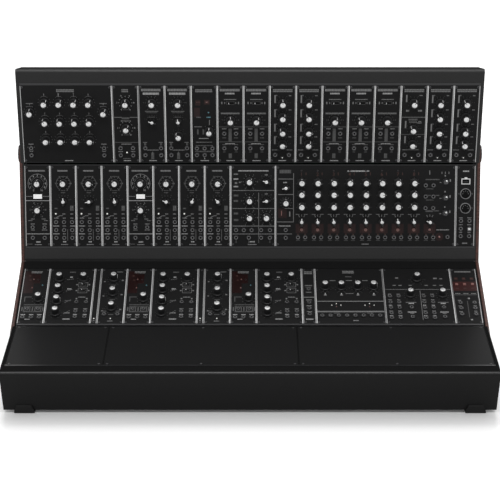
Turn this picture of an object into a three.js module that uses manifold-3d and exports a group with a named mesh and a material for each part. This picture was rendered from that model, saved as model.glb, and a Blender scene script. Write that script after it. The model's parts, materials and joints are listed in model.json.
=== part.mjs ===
// A modular synthesizer: four rows of modules in two matching cases, the lower one on its tilt
// stand, the upper one upright behind it, linked by an angle bracket at each side.
// Millimetres, +Z up, +X to the right, the player in front at -Y, standing on the plane Z = 0.
import * as THREE from 'three';
import { mergeVertices } from 'three/addons/utils/BufferGeometryUtils.js';
import Module from 'manifold-3d';

const wasm = await Module();
wasm.setup();

// Rack standard: one width unit, units in a row, panel height and the seam between two rows.
// An opening is a little higher than its panels, and the margins are the part of that spare
// height at the seam, which the rails' lips fill
const unitWidth = 5.08;
const rowUnits = 140;
const panelHeight = 128.5;
const panelThickness = 2;
const rowSeam = 3.44;
const spareHeight = 4.54;
const upperRearMargin = 0.5;
const upperFrontMargin = 1.3;
const lowerRearMargin = 4;
const lowerFrontMargin = 1.3;
const rowBendDegrees = 17.14;

// Case: folded sheet with a lip at each end of the rows, rounded edges and thick end plates
const lipLength = 16.15;
const edgeRadius = 5.06;
const endCornerDegrees = 72.3;
const endFaceLength = 77.2;
const baseRadius = 3;
const sheetThickness = 2;
const endPlateThickness = 5.2;

// Fits: between touching pieces, and between a turning or sliding piece and its seat
const clearance = 0.3;
const runningClearance = 0.5;
const overrun = 5;
const weldOverlap = 0.5;

// Stacking: slope of each case's rows, and where the upper case's edge meets the lower one's
const lowerTiltDegrees = 13.58;
const upperTiltDegrees = 89.8;
const caseGap = 0.6;
const caseMeetDegrees = 60;

// Angle brackets
const bracketThickness = 5.1;
const bracketProud = 2.2;
const bracketWidth = 34;
const bracketPastBend = 14;
const bracketFillet = 4;
const clampKnobRadius = 14;
const clampKnobThickness = 2.2;
const clampShankRadius = 3;
const clampFluteCount = 12;
const clampFluteDepthShare = 0.07;

// Corner feet, cut flat where they stand on the table
const footWidth = 30;
const footTopWidth = 21;
const footRise = 12;
const footRun = 16;
const footProud = 2.2;
const footDrop = 3.5;
const footOffset = 30.8;

// Tilt stand: a bail of two legs, a cross bar with rubber sleeves, and ears on the case's base
const standPivotFromEnd = 20;
const standPivotDrop = 8.5;
const standSpan = 600;
const standLegThickness = 4;
const standLegWidth = 12;
const standBarRadius = 4.5;
const standSleeveRadius = 7;
const standSleeveLength = 44;
const standSplayDegrees = 20;
const standPinRadius = 3;
const standPinLength = 5;
const earThickness = 4;
const earWidth = 16;

// Rail frame: four slotted rails on two end brackets
const railWidth = 9;
const railInset = 3;
const railLipFoot = 2;
const railHeight = 8;
const railSlotWidth = 3.2;
const railSlotDepth = 4;
const railBracketThickness = 3;
const railBracketDepth = 16;

// Bus board on posts, with its rows of power headers
const busSideMargin = 35.9;
const busDepth = 60;
const busThickness = 1.6;
const busPostHeight = 5;
const busPostRadius = 3;
const busHeaderCount = 5;
const busHeaderLength = 22;
const busHeaderWidth = 9;
const busHeaderHeight = 9;

// Power inlet and rocker in the case's base
const inletRadius = 6;
const inletProud = 2;
const inletBoreRadius = 3.1;
const inletDepth = 9;
const inletPinRadius = 1;
const rockerLength = 18;
const rockerWidth = 12.6;
const rockerDepth = 8;
const rockerDishDepth = 1;
const rockerThrowDegrees = 8;
const rockerBezel = 2.2;
const rockerBezelHeight = 1.8;
const powerFromSide = 86;
const powerSpacing = 34;
const powerFromEnd = 58;

// Module boards behind the panels
const boardInset = 5;
const boardDepth = 13;
const boardEdgeGap = 3;
const seamWidth = 0.4;
const seamDepth = 1;

// Control knobs: skirt, grip and cap, with the shaft that goes through the panel
const skirtRadius = 6.7;
const skirtHeight = 2.4;
const gripRadius = 5.6;
const gripTopRadius = 5.2;
const knobHeight = 12;
const knobLift = 0.5;
const shaftRadius = 3;
const shaftDepth = 9;
const knobSides = 10;
const fixedKnobSides = 8;

// Pointer knobs of the selectors
const pointerBaseRadius = 4.6;
const pointerBaseHeight = 2.6;
const pointerLength = 12.5;
const pointerWidth = 3;
const pointerHeight = 9;

// Toggle switches: nut, bushing and lever
const toggleNutRadius = 4.6;
const toggleNutHeight = 1.8;
const toggleBushRadius = 3;
const toggleBushHeight = 4.6;
const toggleBoreRadius = 2.2;
const toggleLeverRadius = 1.1;
const toggleTipRadius = 1.7;
const toggleLeverLength = 12.5;
const togglePivotHeight = 2;
const toggleThrowDegrees = 12;

// Push buttons
const buttonRadius = 2.6;
const buttonProud = 2.6;
const buttonDepth = 7;
const roundSides = 10;
const sleeveSides = 12;
const smallSides = 8;
const arcSegments = 5;
const edgeSegments = 4;

// Sizes worked out from the values above
const degree = Math.PI / 180;
const rowWidth = unitWidth * rowUnits;
const halfBend = (rowBendDegrees / 2) * degree;
const endCorner = endCornerDegrees * degree;
const innerHalfWidth = rowWidth / 2 + clearance;
const outerHalfWidth = innerHalfWidth + endPlateThickness;
const busWidth = 2 * (innerHalfWidth - busSideMargin);
const lipStart = rowSeam / 2 + panelHeight + spareHeight;
const lipEnd = lipStart + lipLength;
const cornerReach = lipEnd + edgeRadius / Math.tan(endCorner / 2);
const endTilt = Math.PI / 2 - endCorner - halfBend;
const quarterTurn = Math.PI / 2;

// Colours from the photograph, as materials of the pieces
function finish(color, roughness, metalness) {
  return new THREE.MeshStandardMaterial({ color, roughness, metalness });
}
const caseFinish = finish(0x232323, 0.5, 0.4);
const panelFinish = finish(0x1e1e1f, 0.55, 0.3);
const woodFinish = finish(0x45302c, 0.5, 0);
const railFinish = finish(0x17181a, 0.4, 0.6);
const boardFinish = finish(0x1f3d2b, 0.6, 0);
const rubberFinish = finish(0x141414, 0.9, 0);
const knobFinish = finish(0x17181a, 0.45, 0);
const steelFinish = finish(0x8d9093, 0.3, 1);
const buttonFinish = finish(0x9c1d1d, 0.4, 0);

// A closed solid from a three.js geometry, and a geometry back from a solid
function solidFrom(geometry) {
  const plain = geometry.clone();
  plain.deleteAttribute('normal');
  plain.deleteAttribute('uv');
  const merged = mergeVertices(plain);
  const corners = merged.index.array;
  const kept = [];
  for (let i = 0; i < corners.length; i += 3) {
    const [a, b, c] = [corners[i], corners[i + 1], corners[i + 2]];
    if (a !== b && b !== c && c !== a) kept.push(a, b, c);
  }
  return new wasm.Manifold(new wasm.Mesh({
    numProp: 3,
    vertProperties: new Float32Array(merged.attributes.position.array),
    triVerts: new Uint32Array(kept),
  }));
}

function geometryFrom(solid) {
  const { vertProperties, triVerts } = solid.getMesh();
  const geometry = new THREE.BufferGeometry();
  geometry.setAttribute('position', new THREE.BufferAttribute(new Float32Array(vertProperties), 3));
  geometry.setIndex(new THREE.BufferAttribute(new Uint32Array(triVerts), 1));
  geometry.computeVertexNormals();
  return geometry;
}

function joined(solids) {
  return solids.reduce((sum, next) => sum.add(next));
}

// Names a solid as a mesh of the model
function piece(name, solid, material) {
  const mesh = new THREE.Mesh(geometryFrom(solid), material);
  mesh.name = name;
  return mesh;
}

// Basic forms, each as a closed solid
function block(width, depth, height, x, y, z) {
  const geometry = new THREE.BoxGeometry(width, depth, height);
  geometry.translate(x, y, z);
  return solidFrom(geometry);
}

// A round bar with its axis along Z, from one height to another
function bar(radius, low, high, x, y, sides) {
  const geometry = new THREE.CylinderGeometry(radius, radius, high - low, sides);
  geometry.rotateX(quarterTurn);
  geometry.translate(x, y, (low + high) / 2);
  return solidFrom(geometry);
}

// A round bar with its axis along X
function crossBar(radius, left, right, y, z, sides) {
  const geometry = new THREE.CylinderGeometry(radius, radius, right - left, sides);
  geometry.rotateZ(quarterTurn);
  geometry.translate((left + right) / 2, y, z);
  return solidFrom(geometry);
}

// A turned form around the Z axis, from radius and height pairs given from the bottom up
function turned(pairs, sides) {
  const geometry = new THREE.LatheGeometry(pairs.map(([r, z]) => new THREE.Vector2(r, z)), sides);
  geometry.rotateX(quarterTurn);
  return solidFrom(geometry);
}

// A side profile, drawn in Y and Z, extruded along X
const profileBasis = new THREE.Matrix4().makeBasis(
  new THREE.Vector3(0, 1, 0),
  new THREE.Vector3(0, 0, 1),
  new THREE.Vector3(1, 0, 0),
);
function extrudedAlongX(shape, left, right, curveSegments) {
  const geometry = new THREE.ExtrudeGeometry(shape, {
    depth: right - left,
    bevelEnabled: false,
    curveSegments,
  });
  geometry.applyMatrix4(profileBasis);
  geometry.translate(left, 0, 0);
  return geometry;
}

function polygon(points) {
  return new THREE.Shape(points.map(([y, z]) => new THREE.Vector2(y, z)));
}

// Where two lines cross, each given by a point and a direction
function crossing([ay, az], [uy, uz], [by, bz], [vy, vz]) {
  const along = ((by - ay) * vz - (bz - az) * vy) / (uy * vz - uz * vy);
  return [ay + along * uy, az + along * uz];
}

function stepped([y, z], [dirY, dirZ], distance) {
  return [y + dirY * distance, z + dirZ * distance];
}

// A closed outline with an arc of its own radius at each corner, in counter-clockwise order
function roundedOutline(corners) {
  const shape = new THREE.Shape();
  corners.forEach(({ at, radius }, i) => {
    const before = corners[(i + corners.length - 1) % corners.length].at;
    const after = corners[(i + 1) % corners.length].at;
    const here = new THREE.Vector2(...at);
    const toBefore = new THREE.Vector2(...before).sub(here).normalize();
    const toAfter = new THREE.Vector2(...after).sub(here).normalize();
    const half = Math.acos(THREE.MathUtils.clamp(toBefore.dot(toAfter), -1, 1)) / 2;
    if (radius === 0) {
      if (i === 0) shape.moveTo(here.x, here.y);
      else shape.lineTo(here.x, here.y);
      return;
    }
    const start = here.clone().addScaledVector(toBefore, radius / Math.tan(half));
    const end = here.clone().addScaledVector(toAfter, radius / Math.tan(half));
    const middle = toBefore.clone().add(toAfter).normalize();
    const centre = here.clone().addScaledVector(middle, radius / Math.sin(half));
    const turn = toBefore.x * toAfter.y - toBefore.y * toAfter.x;
    if (i === 0) shape.moveTo(start.x, start.y);
    else shape.lineTo(start.x, start.y);
    const from = Math.atan2(start.y - centre.y, start.x - centre.x);
    const to = Math.atan2(end.y - centre.y, end.x - centre.x);
    shape.absarc(centre.x, centre.y, radius, from, to, turn > 0);
  });
  shape.closePath();
  return shape;
}

// Case profile, in the case's own frame: Y along the rows' chord, Z out of the panels.
// side is +1 for the rear or top row and -1 for the front or bottom row.
function rowPoint(side, along, out) {
  return [
    side * (along * Math.cos(halfBend) - out * Math.sin(halfBend)),
    along * Math.sin(halfBend) + out * Math.cos(halfBend),
  ];
}
function endDirection(side) {
  return [-side * Math.sin(endTilt), -Math.cos(endTilt)];
}
function endNormal(side) {
  return [side * Math.cos(endTilt), -Math.sin(endTilt)];
}
function topCorner(side) {
  return rowPoint(side, cornerReach, 0);
}
function baseCorner(side) {
  return stepped(topCorner(side), endDirection(side), endFaceLength);
}
const baseLevel = baseCorner(1)[1];
const baseReach = baseCorner(1)[0];

function caseOutline() {
  return roundedOutline([
    { at: [0, 0], radius: 0 },
    { at: topCorner(-1), radius: edgeRadius },
    { at: baseCorner(-1), radius: baseRadius },
    { at: baseCorner(1), radius: baseRadius },
    { at: topCorner(1), radius: edgeRadius },
  ]);
}

// Inside of the case: every face moved in by the sheet's thickness
function cavityOutline() {
  const rowDirection = (side) => [side * Math.cos(halfBend), Math.sin(halfBend)];
  const inner = (side) => stepped(topCorner(side), endNormal(side), -sheetThickness);
  const floor = [0, baseLevel + sheetThickness];
  return polygon([
    crossing(rowPoint(1, 0, -sheetThickness), rowDirection(1), rowPoint(-1, 0, -sheetThickness), rowDirection(-1)),
    crossing(rowPoint(-1, 0, -sheetThickness), rowDirection(-1), inner(-1), endDirection(-1)),
    crossing(inner(-1), endDirection(-1), floor, [1, 0]),
    crossing(inner(1), endDirection(1), floor, [1, 0]),
    crossing(rowPoint(1, 0, -sheetThickness), rowDirection(1), inner(1), endDirection(1)),
  ]);
}

// The opening between the two lips, over both rows
function openingOutline() {
  const edge = lipStart + clearance;
  return polygon([
    [0, overrun],
    rowPoint(-1, edge, overrun),
    rowPoint(-1, edge, -sheetThickness - overrun),
    [0, -sheetThickness - overrun],
    rowPoint(1, edge, -sheetThickness - overrun),
    rowPoint(1, edge, overrun),
  ]);
}

// Places of the two cases in the model, before the model is centred
function frameMatrix(tiltDegrees, [y, z]) {
  const matrix = new THREE.Matrix4().makeRotationX(tiltDegrees * degree);
  matrix.setPosition(0, y, z);
  return matrix;
}
function placed(matrix, [y, z]) {
  const point = new THREE.Vector3(0, y, z).applyMatrix4(matrix);
  return [point.y, point.z];
}
function edgeCentre(side) {
  return rowPoint(side, lipEnd, -edgeRadius);
}
const lowerTurn = frameMatrix(lowerTiltDegrees, [0, 0]);
const upperTurn = frameMatrix(upperTiltDegrees, [0, 0]);
const lowerSeat = [0, footDrop - placed(lowerTurn, baseCorner(-1))[1]];
const lowerMatrix = frameMatrix(lowerTiltDegrees, lowerSeat);
const meetAngle = caseMeetDegrees * degree;
const lowerEdge = placed(lowerMatrix, edgeCentre(1));
const upperEdge = stepped(lowerEdge, [Math.cos(meetAngle), Math.sin(meetAngle)], 2 * edgeRadius + caseGap);
const upperEdgeTurned = placed(upperTurn, edgeCentre(-1));
const upperSeat = [upperEdge[0] - upperEdgeTurned[0], upperEdge[1] - upperEdgeTurned[1]];
const upperMatrix = frameMatrix(upperTiltDegrees, upperSeat);

// Angle bracket outline in the model's Y and Z: one arm along each of the two meeting rows,
// round ends past each case's bend, and a round back corner
function armLine(matrix, side) {
  const start = placed(matrix, topCorner(side));
  const end = placed(matrix, [0, 0]);
  const along = new THREE.Vector2(end[0] - start[0], end[1] - start[1]).normalize();
  const base = placed(matrix, rowPoint(side, cornerReach, -bracketWidth));
  const inward = new THREE.Vector2(base[0] - start[0], base[1] - start[1]).normalize();
  return { start, end, along: [along.x, along.y], inward: [inward.x, inward.y] };
}
const upperArm = armLine(upperMatrix, -1);
const lowerArm = armLine(lowerMatrix, 1);

function armEnd(arm, inset) {
  return stepped(stepped(arm.end, arm.along, bracketPastBend), arm.inward, inset);
}
function bracketOutline(margin) {
  const endRadius = bracketWidth / 2 + margin;
  const endCorners = (arm) => [-endRadius, endRadius].map((offset) => ({
    at: stepped(stepped(armEnd(arm, bracketWidth / 2), arm.inward, offset), arm.along, endRadius),
    radius: endRadius,
  }));
  const [lowerFront, lowerBack] = endCorners(lowerArm);
  const [upperFront, upperBack] = endCorners(upperArm);
  const meeting = (one, other) => crossing(one.at, upperArm.along, other.at, lowerArm.along);
  return roundedOutline([
    { at: meeting(upperFront, lowerFront), radius: bracketFillet - margin },
    lowerFront,
    lowerBack,
    { at: meeting(upperBack, lowerBack), radius: bracketWidth + margin },
    upperBack,
    upperFront,
  ]);
}

const bracketOuter = outerHalfWidth + bracketProud;
const bracketInner = bracketOuter - bracketThickness;
const pocketFloor = bracketInner - clearance;

function bracket(name, side) {
  const left = Math.min(side * bracketInner, side * bracketOuter);
  const right = Math.max(side * bracketInner, side * bracketOuter);
  let solid = solidFrom(extrudedAlongX(bracketOutline(0), left, right, arcSegments));
  const [y, z] = armEnd(upperArm, bracketWidth / 2);
  const bore = clampShankRadius + clearance;
  solid = solid.subtract(crossBar(bore, left - overrun, right + overrun, y, z, roundSides));
  return piece(name, solid, woodFinish);
}

// Clamp knob on a bracket's upper arm, with a fluted rim and its shank through the bracket
function clampKnob(name, side) {
  const [y, z] = armEnd(upperArm, bracketWidth / 2);
  const rim = new THREE.Shape();
  const points = clampFluteCount * 3;
  for (let i = 0; i < points; i += 1) {
    const angle = (i / points) * 2 * Math.PI;
    const radius = clampKnobRadius * (1 - clampFluteDepthShare * (1 + Math.cos(angle * clampFluteCount)) / 2);
    const at = [y + radius * Math.cos(angle), z + radius * Math.sin(angle)];
    if (i === 0) rim.moveTo(...at);
    else rim.lineTo(...at);
  }
  rim.closePath();
  const near = side * (bracketOuter + clearance);
  const far = side * (bracketOuter + clearance + clampKnobThickness);
  const head = solidFrom(extrudedAlongX(rim, Math.min(near, far), Math.max(near, far), 1));
  const tip = side * (pocketFloor + clearance);
  const root = side * (bracketOuter + clearance + weldOverlap);
  const shank = crossBar(clampShankRadius, Math.min(tip, root), Math.max(tip, root), y, z, smallSides);
  return piece(name, head.add(shank), knobFinish);
}

// Places on the case's base
const pivotReach = baseReach - standPivotFromEnd;
const pivotLevel = baseLevel - standPivotDrop;
const powerReach = baseReach - powerFromEnd;
const inletX = -outerHalfWidth + powerFromSide;
const rockerX = inletX + powerSpacing;
const earX = standSpan / 2 + clearance;

// Case: the outside less the inside and the opening, with what its base carries
function caseBody(name, matrix) {
  let solid = solidFrom(extrudedAlongX(caseOutline(), -outerHalfWidth, outerHalfWidth, edgeSegments));
  solid = solid.subtract(solidFrom(extrudedAlongX(cavityOutline(), -innerHalfWidth, innerHalfWidth, 1)));
  solid = solid.subtract(solidFrom(extrudedAlongX(openingOutline(), -innerHalfWidth, innerHalfWidth, 1)));

  // Pockets that let the brackets into the end plates
  const toCase = matrix.clone().invert();
  for (const side of [-1, 1]) {
    const inner = side * pocketFloor;
    const outer = side * (outerHalfWidth + overrun);
    const pocket = extrudedAlongX(
      bracketOutline(clearance),
      Math.min(inner, outer),
      Math.max(inner, outer),
      arcSegments,
    );
    solid = solid.subtract(solidFrom(pocket.applyMatrix4(toCase)));
  }

  // Ears for the tilt stand
  for (const side of [-1, 1]) {
    const ear = new THREE.Shape();
    const half = earWidth / 2;
    ear.moveTo(pivotReach + half, baseLevel + weldOverlap);
    ear.lineTo(pivotReach - half, baseLevel + weldOverlap);
    ear.absarc(pivotReach, pivotLevel, half, Math.PI, 2 * Math.PI, false);
    ear.closePath();
    const left = Math.min(side * earX, side * (earX + earThickness));
    solid = solid.add(solidFrom(extrudedAlongX(ear, left, left + earThickness, edgeSegments)));
    solid = solid.subtract(crossBar(
      standPinRadius + clearance,
      left - overrun,
      left + earThickness + overrun,
      pivotReach,
      pivotLevel,
      smallSides,
    ));
  }

  // Posts for the bus board
  const postLow = baseLevel + sheetThickness - weldOverlap;
  const postHigh = baseLevel + sheetThickness + busPostHeight;
  for (const sideX of [-1, 1]) {
    for (const sideY of [-1, 1]) {
      const x = sideX * (busWidth / 2 - 2 * busPostRadius);
      const y = sideY * (busDepth / 2 - 2 * busPostRadius);
      solid = solid.add(bar(busPostRadius, postLow, postHigh, x, y, smallSides));
    }
  }

  // Power inlet with its contact pin
  const inletLow = baseLevel - inletProud;
  const inletHigh = inletLow + inletDepth + sheetThickness;
  const boreTop = inletLow + inletDepth;
  solid = solid.add(bar(inletRadius, inletLow, inletHigh, inletX, powerReach, roundSides));
  solid = solid.subtract(bar(inletBoreRadius, inletLow - overrun, boreTop, inletX, powerReach, roundSides));
  solid = solid.add(bar(inletPinRadius, baseLevel, boreTop + weldOverlap, inletX, powerReach, smallSides));

  // Rocker frame, open through the base
  const wellLength = rockerLength + 2 * runningClearance + clearance;
  const wellWidth = rockerWidth + 2 * runningClearance;
  const bezelTop = baseLevel + sheetThickness - weldOverlap;
  const bezelLow = baseLevel - rockerBezelHeight;
  const bezelHeight = bezelTop - bezelLow;
  const bezelMiddle = (bezelTop + bezelLow) / 2;
  const bezelWidth = wellWidth + 2 * rockerBezel;
  const bezelLength = wellLength + 2 * rockerBezel;
  solid = solid.add(block(bezelWidth, bezelLength, bezelHeight, rockerX, powerReach, bezelMiddle));
  solid = solid.subtract(block(wellWidth, wellLength, rockerDepth * 2, rockerX, powerReach, baseLevel));
  return piece(name, solid, caseFinish);
}

// Rocker paddle, dished along its length, pressed to one side
function rocker(name) {
  const half = rockerLength / 2;
  const low = -rockerBezelHeight - rockerDishDepth;
  const paddle = polygon([
    [-half, low],
    [0, low + rockerDishDepth],
    [half, low],
    [half, low + rockerDepth],
    [-half, low + rockerDepth],
  ]);
  const left = -rockerWidth / 2;
  const mesh = piece(name, solidFrom(extrudedAlongX(paddle, left, -left, 1)), knobFinish);
  mesh.position.set(rockerX, powerReach, baseLevel);
  mesh.rotation.x = rockerThrowDegrees * degree;
  return mesh;
}

// Tilt stand, drawn with its legs straight down from the pivot
const standDrop = placed(lowerMatrix, [pivotReach, pivotLevel])[1];
const standLength = (standDrop - standSleeveRadius) / Math.cos(standSplayDegrees * degree);
function tiltStand(name) {
  const half = standLegWidth / 2;
  const legOutline = new THREE.Shape();
  legOutline.moveTo(half, 0);
  legOutline.absarc(0, 0, half, 0, Math.PI, false);
  legOutline.absarc(0, -standLength, half, Math.PI, 2 * Math.PI, false);
  legOutline.closePath();
  const parts = [];
  for (const side of [-1, 1]) {
    const outer = standSpan / 2;
    const left = side > 0 ? outer - standLegThickness : -outer;
    parts.push(solidFrom(extrudedAlongX(legOutline, left, left + standLegThickness, edgeSegments)));
    const pinStart = side * (outer - weldOverlap);
    const pinEnd = side * (outer + standPinLength);
    const pinLeft = Math.min(pinStart, pinEnd);
    const pinRight = Math.max(pinStart, pinEnd);
    parts.push(crossBar(standPinRadius, pinLeft, pinRight, 0, 0, smallSides));
    const sleeveOuter = side * (outer - standLegThickness * 2);
    const sleeveInner = side * (outer - standLegThickness * 2 - standSleeveLength);
    const sleeveLeft = Math.min(sleeveOuter, sleeveInner);
    const sleeveRight = Math.max(sleeveOuter, sleeveInner);
    parts.push(crossBar(standSleeveRadius, sleeveLeft, sleeveRight, 0, -standLength, sleeveSides));
  }
  const barEnd = standSpan / 2 - weldOverlap;
  parts.push(crossBar(standBarRadius, -barEnd, barEnd, 0, -standLength, smallSides));
  const mesh = piece(name, joined(parts), steelFinish);
  mesh.position.set(0, pivotReach, pivotLevel);
  return mesh;
}
const standOpenTurn = standSplayDegrees * degree - lowerTiltDegrees * degree;
const standFoldedTurn = -quarterTurn;

// Corner foot: wraps the edge between end face and base, cut flat at the table's slope
function cornerFoot(name, side) {
  const corner = baseCorner(-1);
  const up = [-endDirection(-1)[0], -endDirection(-1)[1]];
  const out = endNormal(-1);
  const slope = [Math.cos(lowerTiltDegrees * degree), -Math.sin(lowerTiltDegrees * degree)];
  const endSeat = stepped(corner, out, clearance);
  const endSkin = stepped(corner, out, clearance + footProud);
  const baseSeat = stepped(corner, [0, -1], clearance);
  const floorPoint = placed(lowerMatrix.clone().invert(), [0, 0]);
  const heel = stepped(corner, [1, 0], footRun);
  const section = polygon([
    crossing(endSeat, up, baseSeat, [1, 0]),
    stepped(endSeat, up, footRise),
    stepped(endSkin, up, footRise - footProud),
    crossing(endSkin, up, floorPoint, slope),
    crossing(heel, [0, 1], floorPoint, slope),
    [heel[0], baseSeat[1]],
  ]);
  const half = footWidth / 2;
  let solid = solidFrom(extrudedAlongX(section, -half, half, 1));
  const low = corner[1] - footRun;
  const high = corner[1] + footRise;
  const taper = new THREE.ExtrudeGeometry(
    polygon([
      [-half, low],
      [half, low],
      [half, corner[1]],
      [footTopWidth / 2, high],
      [-footTopWidth / 2, high],
      [-half, corner[1]],
    ]),
    { depth: 2 * footRun + 2 * footProud + overrun, bevelEnabled: false },
  );
  taper.rotateX(quarterTurn);
  taper.translate(0, heel[0] + overrun, 0);
  solid = solid.intersect(solidFrom(taper));
  const mesh = piece(name, solid, rubberFinish);
  mesh.position.x = side * (outerHalfWidth - footOffset);
  return mesh;
}

// Rail frame in the case: slotted rails under the panels' edges, on two end brackets. Each rail
// has a lip as high as the panels where its margin leaves room for one
function railFrame(name, margins) {
  const top = -panelThickness - clearance;
  const half = railWidth / 2;
  const slotHalf = railSlotWidth / 2;
  const solids = [];
  const length = innerHalfWidth - clearance;
  for (const side of [-1, 1]) {
    const seamMargin = side > 0 ? margins.rear : margins.front;
    const seamEdge = rowSeam / 2 + seamMargin;
    const edges = [
      { edge: seamEdge, inward: 1, margin: seamMargin },
      { edge: seamEdge + panelHeight, inward: -1, margin: spareHeight - seamMargin },
    ];
    for (const { edge, inward, margin } of edges) {
      const at = (across, level) => rowPoint(side, edge + inward * (railInset + across), top + level);
      const outline = polygon([
        at(-half, 0),
        at(-half, -railHeight),
        at(half, -railHeight),
        at(half, 0),
        at(slotHalf, 0),
        at(slotHalf, -railSlotDepth),
        at(-slotHalf, -railSlotDepth),
        at(-slotHalf, 0),
      ]);
      solids.push(solidFrom(extrudedAlongX(outline, -length, length, 1)));
      if (margin > 2 * clearance) {
        const lip = polygon([
          rowPoint(side, edge - inward * margin, top - railLipFoot),
          rowPoint(side, edge - inward * clearance, top - railLipFoot),
          rowPoint(side, edge - inward * clearance, 0),
          rowPoint(side, edge - inward * margin, 0),
        ]);
        solids.push(solidFrom(extrudedAlongX(lip, -length, length, 1)));
      }
    }
    const under = top - railHeight + weldOverlap;
    const web = polygon([
      rowPoint(-1, lipStart, under),
      rowPoint(-1, lipStart, under - railBracketDepth),
      [0, under - railBracketDepth],
      rowPoint(1, lipStart, under - railBracketDepth),
      rowPoint(1, lipStart, under),
      [0, under],
    ]);
    const left = side > 0 ? length - railBracketThickness : -length;
    solids.push(solidFrom(extrudedAlongX(web, left, left + railBracketThickness, 1)));
  }
  return piece(name, joined(solids), railFinish);
}

// Bus board with two rows of power headers
function busBoard(name) {
  const low = baseLevel + sheetThickness + busPostHeight + clearance;
  const high = low + busThickness;
  const parts = [block(busWidth, busDepth, busThickness, 0, 0, (low + high) / 2)];
  const pitch = busWidth / busHeaderCount;
  for (let i = 0; i < busHeaderCount; i += 1) {
    for (const side of [-1, 1]) {
      const x = pitch / 2 + i * pitch - busWidth / 2;
      const y = side * (busDepth / 4);
      const z = high + busHeaderHeight / 2 - weldOverlap;
      parts.push(block(busHeaderLength, busHeaderWidth, busHeaderHeight, x, y, z));
    }
  }
  return piece(name, joined(parts), boardFinish);
}

// Controls, each drawn around its own axis on the panel's front face
const fixedKnobPairs = [
  [0, -weldOverlap],
  [skirtRadius, -weldOverlap],
  [gripRadius, skirtHeight],
  [gripTopRadius, knobHeight],
  [0, knobHeight],
];
const movingKnobPairs = [
  [0, -shaftDepth],
  [shaftRadius, -shaftDepth],
  [shaftRadius, knobLift],
  [skirtRadius, knobLift],
  [gripRadius, skirtHeight],
  [gripTopRadius, knobHeight],
  [0, knobHeight],
];
const fixedKnobSolid = turned(fixedKnobPairs, fixedKnobSides);
const movingKnobSolid = turned(movingKnobPairs, knobSides);

function pointerBar(low) {
  const half = pointerLength / 2;
  const tip = pointerWidth / 2;
  const outline = polygon([
    [-tip, -half],
    [tip, -half],
    [tip, half - tip],
    [0, half],
    [-tip, half - tip],
  ]);
  const geometry = new THREE.ExtrudeGeometry(outline, { depth: pointerHeight - low, bevelEnabled: false });
  geometry.translate(0, 0, low);
  return solidFrom(geometry);
}
const fixedPointerSolid = turned([
  [0, -weldOverlap],
  [pointerBaseRadius, -weldOverlap],
  [pointerBaseRadius, pointerBaseHeight],
  [0, pointerBaseHeight],
], fixedKnobSides).add(pointerBar(pointerBaseHeight - weldOverlap));
const movingPointerSolid = turned([
  [0, -shaftDepth],
  [shaftRadius, -shaftDepth],
  [shaftRadius, knobLift],
  [pointerBaseRadius, knobLift],
  [pointerBaseRadius, pointerBaseHeight],
  [0, pointerBaseHeight],
], knobSides).add(pointerBar(pointerBaseHeight - weldOverlap));

// Toggle: nut and bushing stay on the panel, the lever tilts in them
const toggleSeatSolid = bar(toggleNutRadius, -weldOverlap, toggleNutHeight, 0, 0, 6)
  .add(bar(toggleBushRadius, 0, toggleBushHeight, 0, 0, smallSides));
const toggleBoreSolid = bar(toggleBoreRadius, 0, toggleBushHeight + overrun, 0, 0, smallSides);
const toggleLeverSolid = turned([
  [0, -togglePivotHeight / 2],
  [toggleLeverRadius, -togglePivotHeight / 2],
  [toggleTipRadius, toggleLeverLength - toggleTipRadius],
  [0, toggleLeverLength],
], smallSides);
const fixedButtonSolid = bar(buttonRadius, -weldOverlap, buttonProud, 0, 0, smallSides);
const movingButtonSolid = bar(buttonRadius, -buttonDepth, buttonProud, 0, 0, smallSides);

// Kinds of control: what is cut from the panel, what stays on it, and what turns or slides
const shaftBore = bar(shaftRadius + runningClearance, -shaftDepth - runningClearance, overrun, 0, 0, smallSides);
const buttonBore = bar(
  buttonRadius + runningClearance,
  -buttonDepth - buttonProud,
  overrun,
  0,
  0,
  smallSides,
);
const controlKinds = {
  knob: { fixed: fixedKnobSolid, moving: movingKnobSolid, bore: shaftBore, finish: knobFinish },
  pointer: { fixed: fixedPointerSolid, moving: movingPointerSolid, bore: shaftBore, finish: knobFinish },
  toggle: { seat: toggleSeatSolid, moving: toggleLeverSolid, bore: toggleBoreSolid, finish: steelFinish },
  button: { fixed: fixedButtonSolid, moving: movingButtonSolid, bore: buttonBore, finish: buttonFinish },
};

// Heights of the controls on a panel, as shares of its height
const topShare = 0.78;
const upperShare = 0.597;
const midShare = 0.556;
const pointerShare = 0.545;
const lowerShare = 0.41;
const bottomShare = 0.246;
const rearTopShare = 0.794;
const centreShare = 0.5;

// Layout of each kind of module: width in rack units, and its controls as shares of its size.
// A control with a name moves, and the others stay with their panel.
function column(kind, x, shares) {
  return shares.map((y) => ({ kind, x, y }));
}
const wideBankShares = { columns: [0.259, 0.42, 0.581, 0.741], rows: [0.784, 0.54, 0.3] };
const sideShares = { columns: [0.097, 0.901], row: 0.662 };
const stepShares = { first: 0.1443, pitch: 0.0891, rows: [0.788, 0.644, 0.493], switches: 0.304, buttons: 0.206 };
const stepCount = 8;
const meterShares = { upperColumn: 0.675, upperRow: 0.414, lowerColumn: 0.692, lowerRow: 0.424 };
const secondKnobShares = { noise: 0.453, filter: 0.355, delay: 0.443, driver: 0.454, oscillator: 0.557 };
const filterColumnShares = { left: 0.23, right: 0.763, rows: [0.794, 0.585, 0.378, 0.171] };
const tripleShares = [0.796, 0.532, 0.263];
const mixerShares = { columns: [0.144, 0.38, 0.62, 0.851], row: 0.637 };
const outputShares = { left: 0.38, middle: 0.499, right: 0.845, row: 0.502 };
const switchShares = { left: 0.417, right: 0.793, rows: [0.801, 0.566, 0.357] };
const sequencerLeftShare = 0.056;
const sequencerRightShare = 0.943;
const sequencerToggleShares = [0.8, 0.603, 0.413];
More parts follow.
